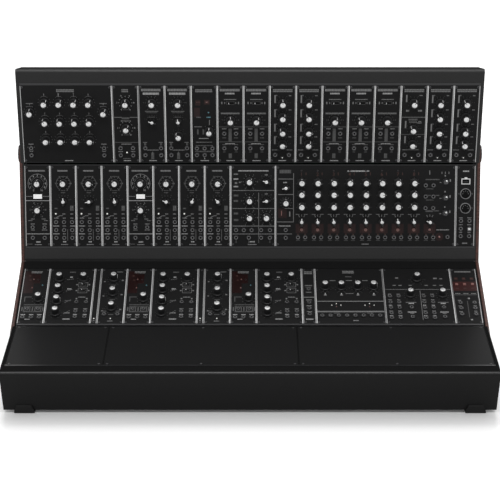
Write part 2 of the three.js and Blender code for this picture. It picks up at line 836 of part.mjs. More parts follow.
const sequencerLeftShares = { selector: 0.726, rate: 0.54 };

const moduleKinds = {
  filterBank: {
    units: 28,
    controls: [
      ...wideBankShares.columns.flatMap((x) => column('knob', x, wideBankShares.rows)),
      ...sideShares.columns.map((x) => ({ kind: 'knob', x, y: sideShares.row })),
    ],
  },
  twoKnob: { units: 8, controls: column('knob', centreShare, [topShare, secondKnobShares.noise]) },
  coupler: {
    units: 8,
    controls: [...column('knob', centreShare, [topShare]), ...column('pointer', centreShare, [pointerShare])],
  },
  filter: {
    units: 8,
    controls: [
      ...column('knob', centreShare, [topShare, secondKnobShares.filter]),
      ...column('pointer', centreShare, [pointerShare]),
    ],
  },
  meter: { units: 8, controls: column('knob', meterShares.upperColumn, [meterShares.upperRow]) },
  voiceMeter: { units: 8, controls: column('knob', meterShares.lowerColumn, [meterShares.lowerRow]) },
  amplifier: { units: 8, controls: column('knob', centreShare, [midShare]) },
  envelope: {
    units: 8,
    controls: column('knob', centreShare, [topShare, upperShare, lowerShare, bottomShare]),
  },
  delay: {
    units: 8,
    controls: column('knob', centreShare, [topShare, secondKnobShares.delay, bottomShare]),
  },
  driver: { units: 8, controls: column('knob', centreShare, [topShare, secondKnobShares.driver]) },
  oscillator: {
    units: 8,
    controls: [
      ...column('knob', centreShare, [topShare]),
      ...column('pointer', centreShare, [secondKnobShares.oscillator]),
    ],
  },
  switcher: {
    units: 14,
    controls: [
      ...column('knob', switchShares.left, switchShares.rows),
      ...column('pointer', switchShares.right, switchShares.rows.slice(0, 2)),
      ...column('knob', switchShares.right, switchShares.rows.slice(2)),
    ],
  },
  sequencer: {
    units: 56,
    controls: [
      ...Array.from({ length: stepCount }, (_, i) => stepShares.first + i * stepShares.pitch).flatMap((x) => [
        ...column('knob', x, stepShares.rows),
        { kind: 'pointer', x, y: stepShares.switches },
        { kind: 'button', x, y: stepShares.buttons },
      ]),
      { kind: 'pointer', x: stepShares.first + stepCount * stepShares.pitch, y: stepShares.switches },
      ...column('toggle', sequencerRightShare, sequencerToggleShares),
      { kind: 'pointer', x: sequencerLeftShare, y: sequencerLeftShares.selector },
      { kind: 'knob', x: sequencerLeftShare, y: sequencerLeftShares.rate },
    ],
  },
  interface: { units: 6, controls: [] },
  ladder: {
    units: 14,
    controls: [
      ...column('knob', filterColumnShares.left, filterColumnShares.rows),
      ...column('knob', filterColumnShares.right, [rearTopShare]),
    ],
  },
  strip: { units: 2, controls: [] },
  wideStrip: { units: 4, controls: [] },
  shaper: { units: 8, controls: column('knob', centreShare, tripleShares) },
  mixer: { units: 21, controls: mixerShares.columns.map((x) => ({ kind: 'knob', x, y: mixerShares.row })) },
  output: {
    units: 21,
    controls: [
      { kind: 'knob', x: outputShares.left, y: outputShares.row },
      { kind: 'knob', x: outputShares.middle, y: rearTopShare },
      { kind: 'knob', x: outputShares.right, y: outputShares.row },
    ],
  },
  clock: { units: 8, controls: [] },
  blankNarrow: { units: 28, controls: [] },
  blankWide: { units: 56, controls: [] },
};

// Banks of modules in each row, from the left. movers names the controls that turn or slide:
// the module's place in the bank, the control's place in that module, and its name.
const rows = {
  upperTop: [
    { name: 'filter_bank_module', modules: ['filterBank'], movers: [[0, 12, 'filter_bank_level_knob']] },
    {
      name: 'noise_and_filter_modules',
      modules: ['twoKnob', 'coupler', 'filter'],
      movers: [[0, 0, 'noise_filter_knob']],
    },
    { name: 'level_meter_module', modules: ['meter'], movers: [[0, 0, 'meter_level_knob']] },
    {
      name: 'amplifier_modules_left',
      modules: ['amplifier', 'amplifier'],
      movers: [[0, 0, 'amplifier_gain_knob']],
    },
    {
      name: 'envelope_modules_left',
      modules: ['envelope', 'envelope'],
      movers: [[0, 0, 'envelope_attack_knob']],
    },
    { name: 'amplifier_modules_right', modules: ['amplifier', 'amplifier', 'amplifier'], movers: [] },
    {
      name: 'envelope_modules_right',
      modules: ['delay', 'envelope', 'envelope'],
      movers: [],
    },
  ],
  upperBottom: [
    {
      name: 'oscillator_modules_left',
      modules: ['driver', 'oscillator', 'oscillator', 'oscillator'],
      movers: [[0, 0, 'driver_tune_knob'], [1, 1, 'oscillator_range_selector']],
    },
    {
      name: 'oscillator_modules_right',
      modules: ['driver', 'oscillator', 'oscillator', 'oscillator'],
      movers: [[1, 0, 'oscillator_tune_knob']],
    },
    { name: 'sequential_switch_module', modules: ['switcher'], movers: [[0, 1, 'switch_speed_knob']] },
    {
      name: 'sequencer_module',
      modules: ['sequencer'],
      movers: [
        [0, 0, 'sequencer_step_knob'],
        [0, 3, 'sequencer_step_selector'],
        [0, 4, 'sequencer_step_button'],
        [0, 41, 'sequencer_top_toggle'],
        [0, 42, 'sequencer_middle_toggle'],
        [0, 43, 'sequencer_bottom_toggle'],
        [0, 45, 'sequencer_rate_knob'],
      ],
    },
    { name: 'midi_interface_module', modules: ['interface'], movers: [] },
  ],
  lowerRear: [
    {
      name: 'voice_modules_left',
      modules: ['voiceMeter', 'ladder', 'strip', 'shaper'],
      movers: [[1, 0, 'left_voice_cutoff_knob']],
    },
    {
      name: 'voice_modules_centre',
      modules: ['voiceMeter', 'ladder', 'strip', 'shaper'],
      movers: [[1, 0, 'centre_voice_cutoff_knob']],
    },
    {
      name: 'voice_modules_right',
      modules: ['voiceMeter', 'ladder', 'wideStrip'],
      movers: [[1, 0, 'right_voice_cutoff_knob']],
    },
    { name: 'mixer_module', modules: ['mixer'], movers: [[0, 0, 'mixer_channel_knob']] },
    { name: 'output_module', modules: ['output'], movers: [[0, 1, 'output_volume_knob']] },
    { name: 'clock_module', modules: ['clock'], movers: [] },
  ],
  lowerFront: [
    { name: 'blank_panel_left', modules: ['blankNarrow'], movers: [] },
    { name: 'blank_panel_centre', modules: ['blankWide'], movers: [] },
    { name: 'blank_panel_right', modules: ['blankWide'], movers: [] },
  ],
};

// One bank: its panels with a scored seam between neighbours, the boards behind them, and the
// controls that stay on it. Named controls come back as meshes of their own.
function bank({ name, modules, movers }, startUnits) {
  const kinds = modules.map((kind) => moduleKinds[kind]);
  const totalUnits = kinds.reduce((sum, kind) => sum + kind.units, 0);
  const width = totalUnits * unitWidth;
  const start = startUnits * unitWidth;
  const plateWidth = width - clearance;
  const parts = [
    block(plateWidth, panelHeight, panelThickness, start + width / 2, panelHeight / 2, -panelThickness / 2),
  ];
  const cuts = [];
  const meshes = [];
  let left = start;
  kinds.forEach((kind, index) => {
    const moduleWidth = kind.units * unitWidth;
    const isBlank = name.startsWith('blank');
    const boardWidth = moduleWidth - 2 * boardInset;
    if (!isBlank && boardWidth > boardInset) {
      const boardHeight = panelHeight - 2 * (railWidth + boardEdgeGap);
      const depth = boardDepth + weldOverlap;
      const middle = -panelThickness - boardDepth / 2 + weldOverlap / 2;
      parts.push(block(boardWidth, boardHeight, depth, left + moduleWidth / 2, panelHeight / 2, middle));
    }
    if (index > 0) {
      cuts.push(block(seamWidth, panelHeight + overrun, 2 * seamDepth, left, panelHeight / 2, 0));
    }
    kind.controls.forEach((control, place) => {
      const x = left + control.x * moduleWidth;
      const y = control.y * panelHeight;
      const { fixed, seat, moving, bore, finish: look } = controlKinds[control.kind];
      const mover = movers.find(([module, number]) => module === index && number === place);
      if (seat) parts.push(seat.translate([x, y, 0]));
      if (!mover) {
        if (fixed) parts.push(fixed.translate([x, y, 0]));
        return;
      }
      cuts.push(bore.translate([x, y, 0]));
      const mesh = piece(mover[2], moving, look);
      const tilted = control.kind === 'toggle';
      mesh.position.set(x, y, tilted ? togglePivotHeight : 0);
      mesh.rotation.x = tilted ? -toggleThrowDegrees * degree : 0;
      meshes.push(mesh);
    });
    left += moduleWidth;
  });
  let solid = joined(parts);
  if (cuts.length > 0) solid = solid.subtract(joined(cuts));
  meshes.unshift(piece(name, solid, panelFinish));
  return { meshes, units: totalUnits };
}

// One row of banks, in a group whose origin is the lower left corner of its panels
function row(banks, side, margin) {
  const bend = new THREE.Group();
  bend.rotation.x = side * halfBend;
  const holder = new THREE.Group();
  const start = rowSeam / 2 + margin;
  const low = side > 0 ? start : -start - panelHeight;
  holder.position.set(-rowWidth / 2, low, 0);
  let units = 0;
  for (const entry of banks) {
    const made = bank(entry, units);
    made.meshes.forEach((mesh) => holder.add(mesh));
    units += made.units;
  }
  bend.add(holder);
  return bend;
}

// One case with what it carries
function caseGroup(prefix, matrix, rearBanks, frontBanks, standTurn, margins) {
  const group = new THREE.Group();
  group.applyMatrix4(matrix);
  group.add(caseBody(`${prefix}_case`, matrix));
  group.add(railFrame(`${prefix}_rail_frame`, margins));
  group.add(busBoard(`${prefix}_bus_board`));
  group.add(rocker(`${prefix}_power_switch`));
  const stand = tiltStand(`${prefix}_tilt_stand`);
  stand.rotation.x = standTurn;
  group.add(stand);
  group.add(row(rearBanks, 1, margins.rear));
  group.add(row(frontBanks, -1, margins.front));
  return group;
}

const lower = caseGroup('lower', lowerMatrix, rows.lowerRear, rows.lowerFront, standOpenTurn, {
  rear: lowerRearMargin,
  front: lowerFrontMargin,
});
const upper = caseGroup('upper', upperMatrix, rows.upperTop, rows.upperBottom, standFoldedTurn, {
  rear: upperRearMargin,
  front: upperFrontMargin,
});

// Four corner feet on the lower case: the rear pair is the front one turned about
for (const [end, turn] of [['front', 0], ['rear', Math.PI]]) {
  const pair = new THREE.Group();
  pair.rotation.z = turn;
  const flip = turn === 0 ? 1 : -1;
  pair.add(cornerFoot(`${end}_left_foot`, -flip));
  pair.add(cornerFoot(`${end}_right_foot`, flip));
  lower.add(pair);
}

const model = new THREE.Group();
model.add(lower, upper);
model.add(bracket('left_bracket', -1), bracket('right_bracket', 1));
model.add(clampKnob('left_clamp_knob', -1), clampKnob('right_clamp_knob', 1));

// The origin is at the middle of the space that the synthesizer stands over
model.updateMatrixWorld(true);
const extent = new THREE.Box3().setFromObject(model, true);
model.position.y = -(extent.min.y + extent.max.y) / 2;
model.updateMatrixWorld(true);

export default model;
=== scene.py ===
"""Looks of a modular synthesizer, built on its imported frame. Drawn in millimetres, placed in metres."""
import json
import math

import bmesh
import bpy
from mathutils import Matrix, Vector


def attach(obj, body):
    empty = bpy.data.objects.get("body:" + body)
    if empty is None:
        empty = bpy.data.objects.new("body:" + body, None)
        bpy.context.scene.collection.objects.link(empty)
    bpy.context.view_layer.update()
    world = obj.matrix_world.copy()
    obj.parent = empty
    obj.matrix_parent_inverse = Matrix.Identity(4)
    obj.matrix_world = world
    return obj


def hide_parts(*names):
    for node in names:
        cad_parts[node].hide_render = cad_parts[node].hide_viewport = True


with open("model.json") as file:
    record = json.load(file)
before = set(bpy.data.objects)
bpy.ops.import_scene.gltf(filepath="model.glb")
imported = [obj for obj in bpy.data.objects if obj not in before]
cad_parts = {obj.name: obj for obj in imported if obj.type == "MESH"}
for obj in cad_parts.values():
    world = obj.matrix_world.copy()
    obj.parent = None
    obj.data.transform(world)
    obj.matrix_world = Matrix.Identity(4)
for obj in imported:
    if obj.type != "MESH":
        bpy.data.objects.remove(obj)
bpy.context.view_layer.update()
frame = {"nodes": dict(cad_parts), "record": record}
scene = bpy.context.scene

# Sizes shared with the frame, in millimetres and degrees
UNIT = 5.08
ROW_WIDTH = 140 * UNIT
PANEL = 128.5
SEAM = 3.44
ROW_EDGE = SEAM / 2 + PANEL + 4.54
MARGINS = {("upper", 1): 0.5, ("upper", -1): 1.3, ("lower", 1): 4.0, ("lower", -1): 1.3}
HALF_BEND = math.radians(8.57)
LIP = 16.15
EDGE_RADIUS, BASE_RADIUS = 5.06, 3.0
END_CORNER = math.radians(72.3)
END_FACE = 77.2
SHEET = 2.0
HALF_INNER, HALF_OUTER = 355.9, 361.1
LOWER_TILT, LOWER_BEND = 13.58, (-39.872, 88.499)
UPPER_TILT, UPPER_BEND = 89.8, (125.177, 299.911)
END_TILT = math.pi / 2 - END_CORNER - HALF_BEND
ARC_REACH = EDGE_RADIUS / math.tan(END_CORNER / 2)
CORNER_REACH = ROW_EDGE + LIP + ARC_REACH
BRACKET_WIDTH, BRACKET_PAST = 34.0, 14.0
BRACKET_INNER, BRACKET_OUTER = 358.2, 363.3
POCKET_GAP = 0.3
INLET_X, ROCKER_X = -275.1, -241.1
PRINT_HEIGHT, FIELD_HEIGHT = 0.08, 0.05
SCREW_INSET = 3.0
BODY = "cases"
UP = math.pi / 2
FULL_TURN = 2 * math.pi

IDENTITY = Matrix.Identity(4)
TO_METRES = Matrix.Scale(0.001, 4)


def turn(angle, axis):
    return Matrix.Rotation(angle, 4, axis)


def move(x, y, z=0.0):
    return Matrix.Translation((x, y, z))


def case_matrix(tilt, bend):
    return move(0, *bend) @ turn(math.radians(tilt), "X")


LOWER = case_matrix(LOWER_TILT, LOWER_BEND)
UPPER = case_matrix(UPPER_TILT, UPPER_BEND)


def row_matrix(name, side):
    start = SEAM / 2 + MARGINS[name, side]
    low = start if side > 0 else -start - PANEL
    return {"lower": LOWER, "upper": UPPER}[name] @ turn(side * HALF_BEND, "X") @ move(-ROW_WIDTH / 2, low)


# Materials
def feed(tree, node, inputs):
    """Set inputs of a node: to a value, to another node's output, or to another node's first output."""
    for name, value in inputs.items():
        if isinstance(value, bpy.types.Node):
            value = value.outputs[0]
        if isinstance(value, bpy.types.NodeSocket):
            tree.links.new(value, node.inputs[name])
        else:
            node.inputs[name].default_value = value


def add_node(tree, kind, inputs=None, operation=None):
    node = tree.nodes.new("ShaderNode" + kind)
    if operation:
        node.operation = operation
    feed(tree, node, inputs or {})
    return node


def material(name, base, rough, metal, gloss, grain, vary, bump, stretch=(1, 1, 1), glow=0.0, lean=0.0):
    """A look with its own grain, which varies its colour, its roughness and the height of its surface."""
    base = base if isinstance(base, tuple) else (base,) * 3
    look = bpy.data.materials.new(name)
    look.use_nodes = True
    tree = look.node_tree
    place = add_node(tree, "TexCoord").outputs["Object"]
    rotation = math.radians(lean), 0, 0
    mapping = add_node(tree, "Mapping", {"Vector": place, "Rotation": rotation, "Scale": stretch})
    noise = add_node(tree, "TexNoise", {"Vector": mapping, "Scale": grain, "Detail": 4})
    ramp = add_node(tree, "ValToRGB", {"Fac": noise})
    for stop, position, tone in zip(ramp.color_ramp.elements, (0.3, 0.7), (1 - vary, 1 + vary)):
        stop.position = position
        stop.color = (*(min(1.0, c * tone) for c in base), 1)
    low, high = max(0.0, rough - 0.07), min(1.0, rough + 0.07)
    wear = add_node(tree, "MapRange", {"Value": noise, "To Min": low, "To Max": high})
    relief = add_node(tree, "Bump", {"Height": noise, "Strength": bump, "Distance": 0.0002})
    shader = tree.nodes["Principled BSDF"]
    feed(tree, shader, {"Base Color": ramp, "Metallic": metal, "Specular IOR Level": gloss, "Roughness": wear,
                        "Normal": relief})
    if glow:
        feed(tree, shader, {"Emission Color": (*base, 1), "Emission Strength": glow})
    return look


# Painted highlight and reflection: gloss of the coat against the upward part of a face's direction
PAINTED_HIGHLIGHT_GLOSS = ((0, 0.06), (0.35, 0.16), (0.65, 0.5), (0.78, 0.4), (0.87, 0.05), (0.93, 0.0))


def dust_the_coat(look):
    """Painted highlight and reflection: faces that look up lose their gloss, so they show no grazing
    reflection; the rolled edges between the flats keep theirs and catch the highlight.
    """
    tree = look.node_tree
    facing = add_node(tree, "NewGeometry").outputs["Normal"]
    upward = add_node(tree, "SeparateXYZ", {0: facing}).outputs["Z"]
    gloss = add_node(tree, "ValToRGB", {"Fac": upward})
    stops = gloss.color_ramp.elements
    for position, value in PAINTED_HIGHLIGHT_GLOSS:
        stop = stops[0] if position == 0 else stops.new(position)
        stop.color = (value, value, value, 1)
    stops.remove(stops[-1])
    feed(tree, tree.nodes["Principled BSDF"], {"Specular IOR Level": gloss})


def numbers(word):
    """A number, or a tuple of several, from a word of a table."""
    values = tuple(map(float, word.split(",")))
    return values if len(values) > 1 else values[0]


# Look, material, colour, roughness, metal, gloss, fineness of the grain, spread of its tone and its relief,
# and for some the stretch of the grain, a glow, and the lean of the grain in degrees
LOOKS = {}
for row in """
case case_powder_coat .0102,.0102,.0103 .34 0 .14 1600 .2 .2
upper_case upper_case_coat .025,.025,.0251 .34 0 .14 1600 .2 .2
panel panel_paint .0096,.0096,.0098 .5 0 .06 1200 .15 .15
silver silver_edge .34 .4 .3 .5 500 .18 .1 6,.3,.3
silver_bright silver_bright_edge .62 .4 .3 .5 500 .18 .1 6,.3,.3
silver_dull silver_dull_edge .2 .4 .3 .5 500 .18 .1 6,.3,.3
print printed_grey .32 .6 0 .2 2500 .1 .05
mid printed_mid_grey .17 .6 0 .2 2500 .1 .05
faint printed_faint_grey .085 .6 0 .2 2500 .1 .05
red_print printed_red .055,.028,.024 .6 0 .2 2500 .1 .05
white_print printed_white .95 .6 0 .2 2500 .06 .05
red_window red_window .013,.0042,.004 .3 0 .15 60 .2 .02
red_panel red_panel .03,.0065,.006 .35 0 .15 60 .2 .02
red_lamp red_lamp .16,.072,.063 .25 0 .5 800 .15 .02 1,1,1 .1
blue_lamp blue_lamp .06,.17,.2 .25 0 .5 800 .15 .02 1,1,1 .1
white_lamp white_lamp .8,.8,.76 .25 0 .5 800 .1 .02 1,1,1 .2
knob knob_plastic .0075,.0075,.008 .42 0 .3 1400 .2 .12
cap spun_cap .6 .3 .4 .5 900 .06 .06
pointer white_pointer .85 .5 0 .5 1500 .05 .03
nut black_nickel .035,.035,.037 .35 .8 .5 700 .25 .1
sleeve socket_sleeve .15 .4 .5 .5 700 .2 .1
hollow socket_inside .002 .8 0 .1 600 .3 .1
steel bright_steel .36,.37,.38 .28 1 .5 700 .12 .08 .3,6,6
screw blackened_screw .05,.05,.052 .4 .7 .5 900 .25 .12
rubber rubber .008 .85 0 .2 1100 .3 .4
rail black_anodised_rail .012,.012,.013 .38 .3 .5 400 .15 .08 .2,8,8
board circuit_board .014,.05,.026 .45 0 .5 300 .3 .05
button red_button .1,.042,.034 .35 0 .5 1300 .15 .05
wood dark_wood .052,.020,.015 .45 0 .3 14 .5 .15 4,1,26 0 12
""".strip().splitlines():
    look, name, *settings = row.split()
    LOOKS[look] = material(name, *map(numbers, settings))
# Painted highlight and reflection on both coats, set by which way each face points
for coat in ("case", "upper_case"):
    dust_the_coat(LOOKS[coat])
SLOTS = {
    "case_paint": "case", "panel_paint": "panel", "bracket_wood": "wood", "rail_metal": "rail",
    "circuit_board": "board", "foot_rubber": "rubber", "knob_plastic": "knob", "button_plastic": "button",
    "steel": "steel",
}
node_slot = {entry["node"]: entry["material_slot"] for entry in frame["record"]["subparts"]}
for node_name, node in frame["nodes"].items():
    node.data.materials.clear()
    node.data.materials.append(LOOKS[SLOTS[node_slot[node_name]]])


# Shapes, as lists of corners and faces
def lathe(profile, sides, ripple=None, closed=False):
    """A profile of radii and heights turned about the axis."""
    verts, rings = [], []
    for index, (radius, z) in enumerate(profile):
        if radius == 0:
            rings.append([len(verts)] * sides)
            verts.append((0, 0, z))
            continue
        rings.append(list(range(len(verts), len(verts) + sides)))
        for i in range(sides):
            angle = FULL_TURN * i / sides
            here = radius * (ripple(index, angle) if ripple else 1)
            verts.append((here * math.cos(angle), here * math.sin(angle), z))
    faces = []
    for low, high in zip(rings, rings[1:] + (rings[:1] if closed else [])):
        for i in range(sides):
            j = (i + 1) % sides
            face = list(dict.fromkeys((low[i], low[j], high[j], high[i])))
            if len(face) > 2:
                faces.append(face)
    return verts, faces


def squares(width, depth, levels):
    """Corners of rectangles one above the other, each larger by its first number on every side."""
    return [(x * (width / 2 + grow), y * (depth / 2 + grow), z) for grow, z in levels
            for x, y in ((-1, -1), (1, -1), (1, 1), (-1, 1))]


def walls(pairs):
    return [[low + i, low + (i + 1) % 4, high + (i + 1) % 4, high + i]
            for low, high in pairs for i in range(4)]


def slab(width, depth, low, high, chamfer):
    return (squares(width, depth, ((0, low), (0, high - chamfer), (-chamfer, high))),
            [[3, 2, 1, 0], [8, 9, 10, 11], *walls(((0, 4), (4, 8)))])


def rim(width, depth, thick, low, high):
    """A frame around a rectangular opening, with its lower outer edge taken off."""
    return (squares(width, depth, ((0, high), (0, low), (thick, low + 0.5), (thick, high))),
            walls(((4, 0), (8, 4), (12, 8), (0, 12))))


def stroke(x1, y1, x2, y2, thick, z=PRINT_HEIGHT):
    along = Vector((x2 - x1, y2 - y1)).normalized() * thick / 2
    side = Vector((-along.y, along.x))
    verts = [(x1 - side.x, y1 - side.y, z), (x2 - side.x, y2 - side.y, z),
             (x2 + side.x, y2 + side.y, z), (x1 + side.x, y1 + side.y, z)]
    return verts, [[0, 1, 2, 3]]


def mesh_shape(mesh):
    return [v.co.copy() for v in mesh.vertices], [list(p.vertices) for p in mesh.polygons]


def evaluated_mesh(holder):
    bpy.context.view_layer.update()
    return bpy.data.meshes.new_from_object(holder.evaluated_get(bpy.context.evaluated_depsgraph_get()))


glyphs = {}


def glyph(text, height):
    """Flat outline of a plain number, centred on its middle."""
    if text not in glyphs:
        curve = bpy.data.curves.new("glyph", "FONT")
        curve.body = text
        holder = bpy.data.objects.new("glyph", curve)
        scene.collection.objects.link(holder)
        mesh = evaluated_mesh(holder)
        points, faces = mesh_shape(mesh)
        bpy.data.objects.remove(holder)
        bpy.data.meshes.remove(mesh)
        low = Vector((min(p.x for p in points), min(p.y for p in points)))
        high = Vector((max(p.x for p in points), max(p.y for p in points)))
        tall, middle = high.y - low.y, (low + high) / 2
        glyphs[text] = ([((p.x - middle.x) / tall, (p.y - middle.y) / tall) for p in points], faces)
    verts, faces = glyphs[text]
    return [(x * height, y * height, PRINT_HEIGHT) for x, y in verts], faces


def finish_mesh(name, mesh, body=BODY, sharp=35, node=None):
    """Smooth a mesh below an angle between faces, and set it in the scene, over a node if one is named."""
    work = bmesh.new()
    work.from_mesh(mesh)
    for edge in work.edges:
        edge.smooth = len(edge.link_faces) == 2 and edge.calc_face_angle(0) < math.radians(sharp)
    for face in work.faces:
        face.smooth = True
    work.to_mesh(mesh)
    work.free()
    piece = bpy.data.objects.new(name, mesh)
    scene.collection.objects.link(piece)
    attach(piece, body)
    if node:
        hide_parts(node)


def finish_solid(name, mesh, place, look, node):
    mesh.transform(TO_METRES @ place)
    mesh.materials.clear()
    mesh.materials.append(LOOKS[look])
    finish_mesh(name, mesh, sharp=30, node=node)


class Part:
    """Collects shapes with their looks, and makes one object of them."""

    def __init__(self):
        self.verts, self.faces, self.looks, self.names = [], [], [], []

    def add(self, shape, look, at=IDENTITY):
        if look not in self.names:
            self.names.append(look)
        start = len(self.verts)
        self.verts += [at @ Vector(v) for v in shape[0]]
        self.faces += [[start + i for i in face] for face in shape[1]]
        self.looks += [self.names.index(look)] * len(shape[1])

    def make(self, name, place, slot, mover=None):
        """One object, over the node of a moving part and on the body of the same name if one is given."""
        if not self.faces:
            return
        mesh = bpy.data.meshes.new(name)
        to_world = TO_METRES @ place
        mesh.from_pydata([to_world @ v for v in self.verts], [], self.faces)
        for look in self.names:
            mesh.materials.append(LOOKS[look])
        mesh.polygons.foreach_set("material_index", self.looks)
        finish_mesh(name, mesh, mover or BODY, node=mover)


# Outlines in a side view, with an arc at each corner
def rounded(corners, segments):
    points = []
    count = len(corners)
    for i, (at, radius) in enumerate(corners):
        here = Vector(at)
        if radius == 0:
            points.append(here)
            continue
        before = (Vector(corners[i - 1][0]) - here).normalized()
        after = (Vector(corners[(i + 1) % count][0]) - here).normalized()
        half = math.acos(max(-1, min(1, before.dot(after)))) / 2
        centre = here + (before + after).normalized() * radius / math.sin(half)
        start = here + before * radius / math.tan(half) - centre
        end = here + after * radius / math.tan(half) - centre
        first = math.atan2(start.y, start.x)
        sweep = (math.atan2(end.y, end.x) - first + math.pi) % FULL_TURN - math.pi
        for step in range(segments + 1):
            angle = first + sweep * step / segments
            points.append(centre + Vector((math.cos(angle), math.sin(angle))) * radius)
    return [p for i, p in enumerate(points) if (p - points[i - 1]).length > 1e-4]


def arc_points(x, y, radius, steps, first=0.0, sweep=FULL_TURN):
    """Points on an arc, or on a full circle without its last point."""
    angles = [first + sweep * i / steps for i in range(steps + (sweep < FULL_TURN))]
    return [(x + radius * math.cos(angle), y + radius * math.sin(angle)) for angle in angles]


def crossing(a, u, b, v):
    along = ((b.y * v.x - b.x * v.y) - (a.y * v.x - a.x * v.y)) / (u.y * v.x - u.x * v.y)
    return a + u * along


def prism(ends, bevel=0.0):
    """A solid between two like outlines, with its end edges rounded over."""
    work = bmesh.new()
    low, high = [[work.verts.new(point) for point in end] for end in ends]
    for i in range(len(low)):
        j = (i + 1) % len(low)
        work.faces.new((low[i], low[j], high[j], high[i]))
    caps = [work.faces.new(low), work.faces.new(high)]
    bmesh.ops.recalc_face_normals(work, faces=work.faces[:])
    if bevel:
        edges = [edge for cap in caps for edge in cap.edges]
        bmesh.ops.bevel(work, geom=edges, offset=bevel, segments=3, profile=0.5, affect="EDGES",
                        clamp_overlap=True)
    mesh = bpy.data.meshes.new("form")
    work.to_mesh(mesh)
    work.free()
    return mesh


def extruded(outline, left, right, bevel=0.0, place=IDENTITY):
    return prism([[place @ Vector((x, *point)) for point in outline] for x in (left, right)], bevel)


def upright(outline, low, high):
    return prism([[(*point, z) for point in outline] for z in (low, high)])


def cylinder_mesh(radius, left, right, y, z, sides=32):
    return extruded(arc_points(y, z, radius, sides), left, right)


def carved(*meshes):
    """The first solid less the others."""
    holder, *tools = pieces = [bpy.data.objects.new("form", mesh) for mesh in meshes]
    for piece in pieces:
        scene.collection.objects.link(piece)
    for tool in tools:
        cut = holder.modifiers.new("cut", "BOOLEAN")
        cut.operation, cut.solver, cut.object = "DIFFERENCE", "EXACT", tool
    result = evaluated_mesh(holder)
    for piece in pieces:
        bpy.data.objects.remove(piece)
    return result


# Profile of the cases, in the case's own side view
def row_point(side, along, out):
    return Vector((side * (along * math.cos(HALF_BEND) - out * math.sin(HALF_BEND)),
                   along * math.sin(HALF_BEND) + out * math.cos(HALF_BEND)))


def end_direction(side):
    return Vector((-side * math.sin(END_TILT), -math.cos(END_TILT)))


def top_corner(side):
    return row_point(side, CORNER_REACH, 0)


def base_corner(side):
    return top_corner(side) + end_direction(side) * END_FACE


BASE_REACH, BASE_LEVEL = base_corner(1)
PIVOT = (BASE_REACH - 20, BASE_LEVEL - 8.5)
FITTINGS_Y = BASE_REACH - 58


def case_outline():
    return rounded([((0, 0), 0), (top_corner(-1), EDGE_RADIUS), (base_corner(-1), BASE_RADIUS),
                    (base_corner(1), BASE_RADIUS), (top_corner(1), EDGE_RADIUS)], 14)


def cavity_outline():
    floor, level = Vector((0, BASE_LEVEL + SHEET)), Vector((1, 0))
    points = {}
    for side in (-1, 1):
        row = row_point(side, 0, -SHEET), Vector((side * math.cos(HALF_BEND), math.sin(HALF_BEND)))
        inward = Vector((side * math.cos(END_TILT), -math.sin(END_TILT))) * SHEET
        end = top_corner(side) - inward, end_direction(side)
        points[side] = row, crossing(*row, *end), crossing(*end, floor, level)
    return [crossing(*points[1][0], *points[-1][0]), points[-1][1], points[-1][2], points[1][2], points[1][1]]


def opening_outline():
    edge, past = ROW_EDGE + 0.3, 6
    return [Vector((0, past)), row_point(-1, edge, past), row_point(-1, edge, -SHEET - past),
            Vector((0, -SHEET - past)), row_point(1, edge, -SHEET - past), row_point(1, edge, past)]


def side_view(case, point):
    there = case @ Vector((0, *point))
    return Vector((there.y, there.z))


def arm(case, side):
    """Start, end, direction and inward direction of a bracket's arm along the row plane of a case."""
    start, end = side_view(case, top_corner(side)), side_view(case, (0, 0))
    inward = (side_view(case, row_point(side, CORNER_REACH, -BRACKET_WIDTH)) - start).normalized()
    return start, end, (end - start).normalized(), inward


UPPER_ARM = arm(UPPER, -1)
LOWER_ARM = arm(LOWER, 1)


def arm_end(lines):
    return lines[1] + lines[2] * BRACKET_PAST + lines[3] * (BRACKET_WIDTH / 2)


def bracket_outline(margin, segments=14):
    radius = BRACKET_WIDTH / 2 + margin

    def ends(lines):
        return [arm_end(lines) + lines[3] * offset + lines[2] * radius for offset in (-radius, radius)]

    lower_front, lower_back = ends(LOWER_ARM)
    upper_front, upper_back = ends(UPPER_ARM)
    front = crossing(upper_front, UPPER_ARM[2], lower_front, LOWER_ARM[2])
    back = crossing(upper_back, UPPER_ARM[2], lower_back, LOWER_ARM[2])
    return rounded([(front, 4 - margin), (lower_front, radius), (lower_back, radius),
                    (back, BRACKET_WIDTH + margin), (upper_back, radius), (upper_front, radius)], segments)


def between(side, near, far):
    """Left and right end of what lies between two distances from the middle, on one side."""
    return sorted((side * near, side * far))


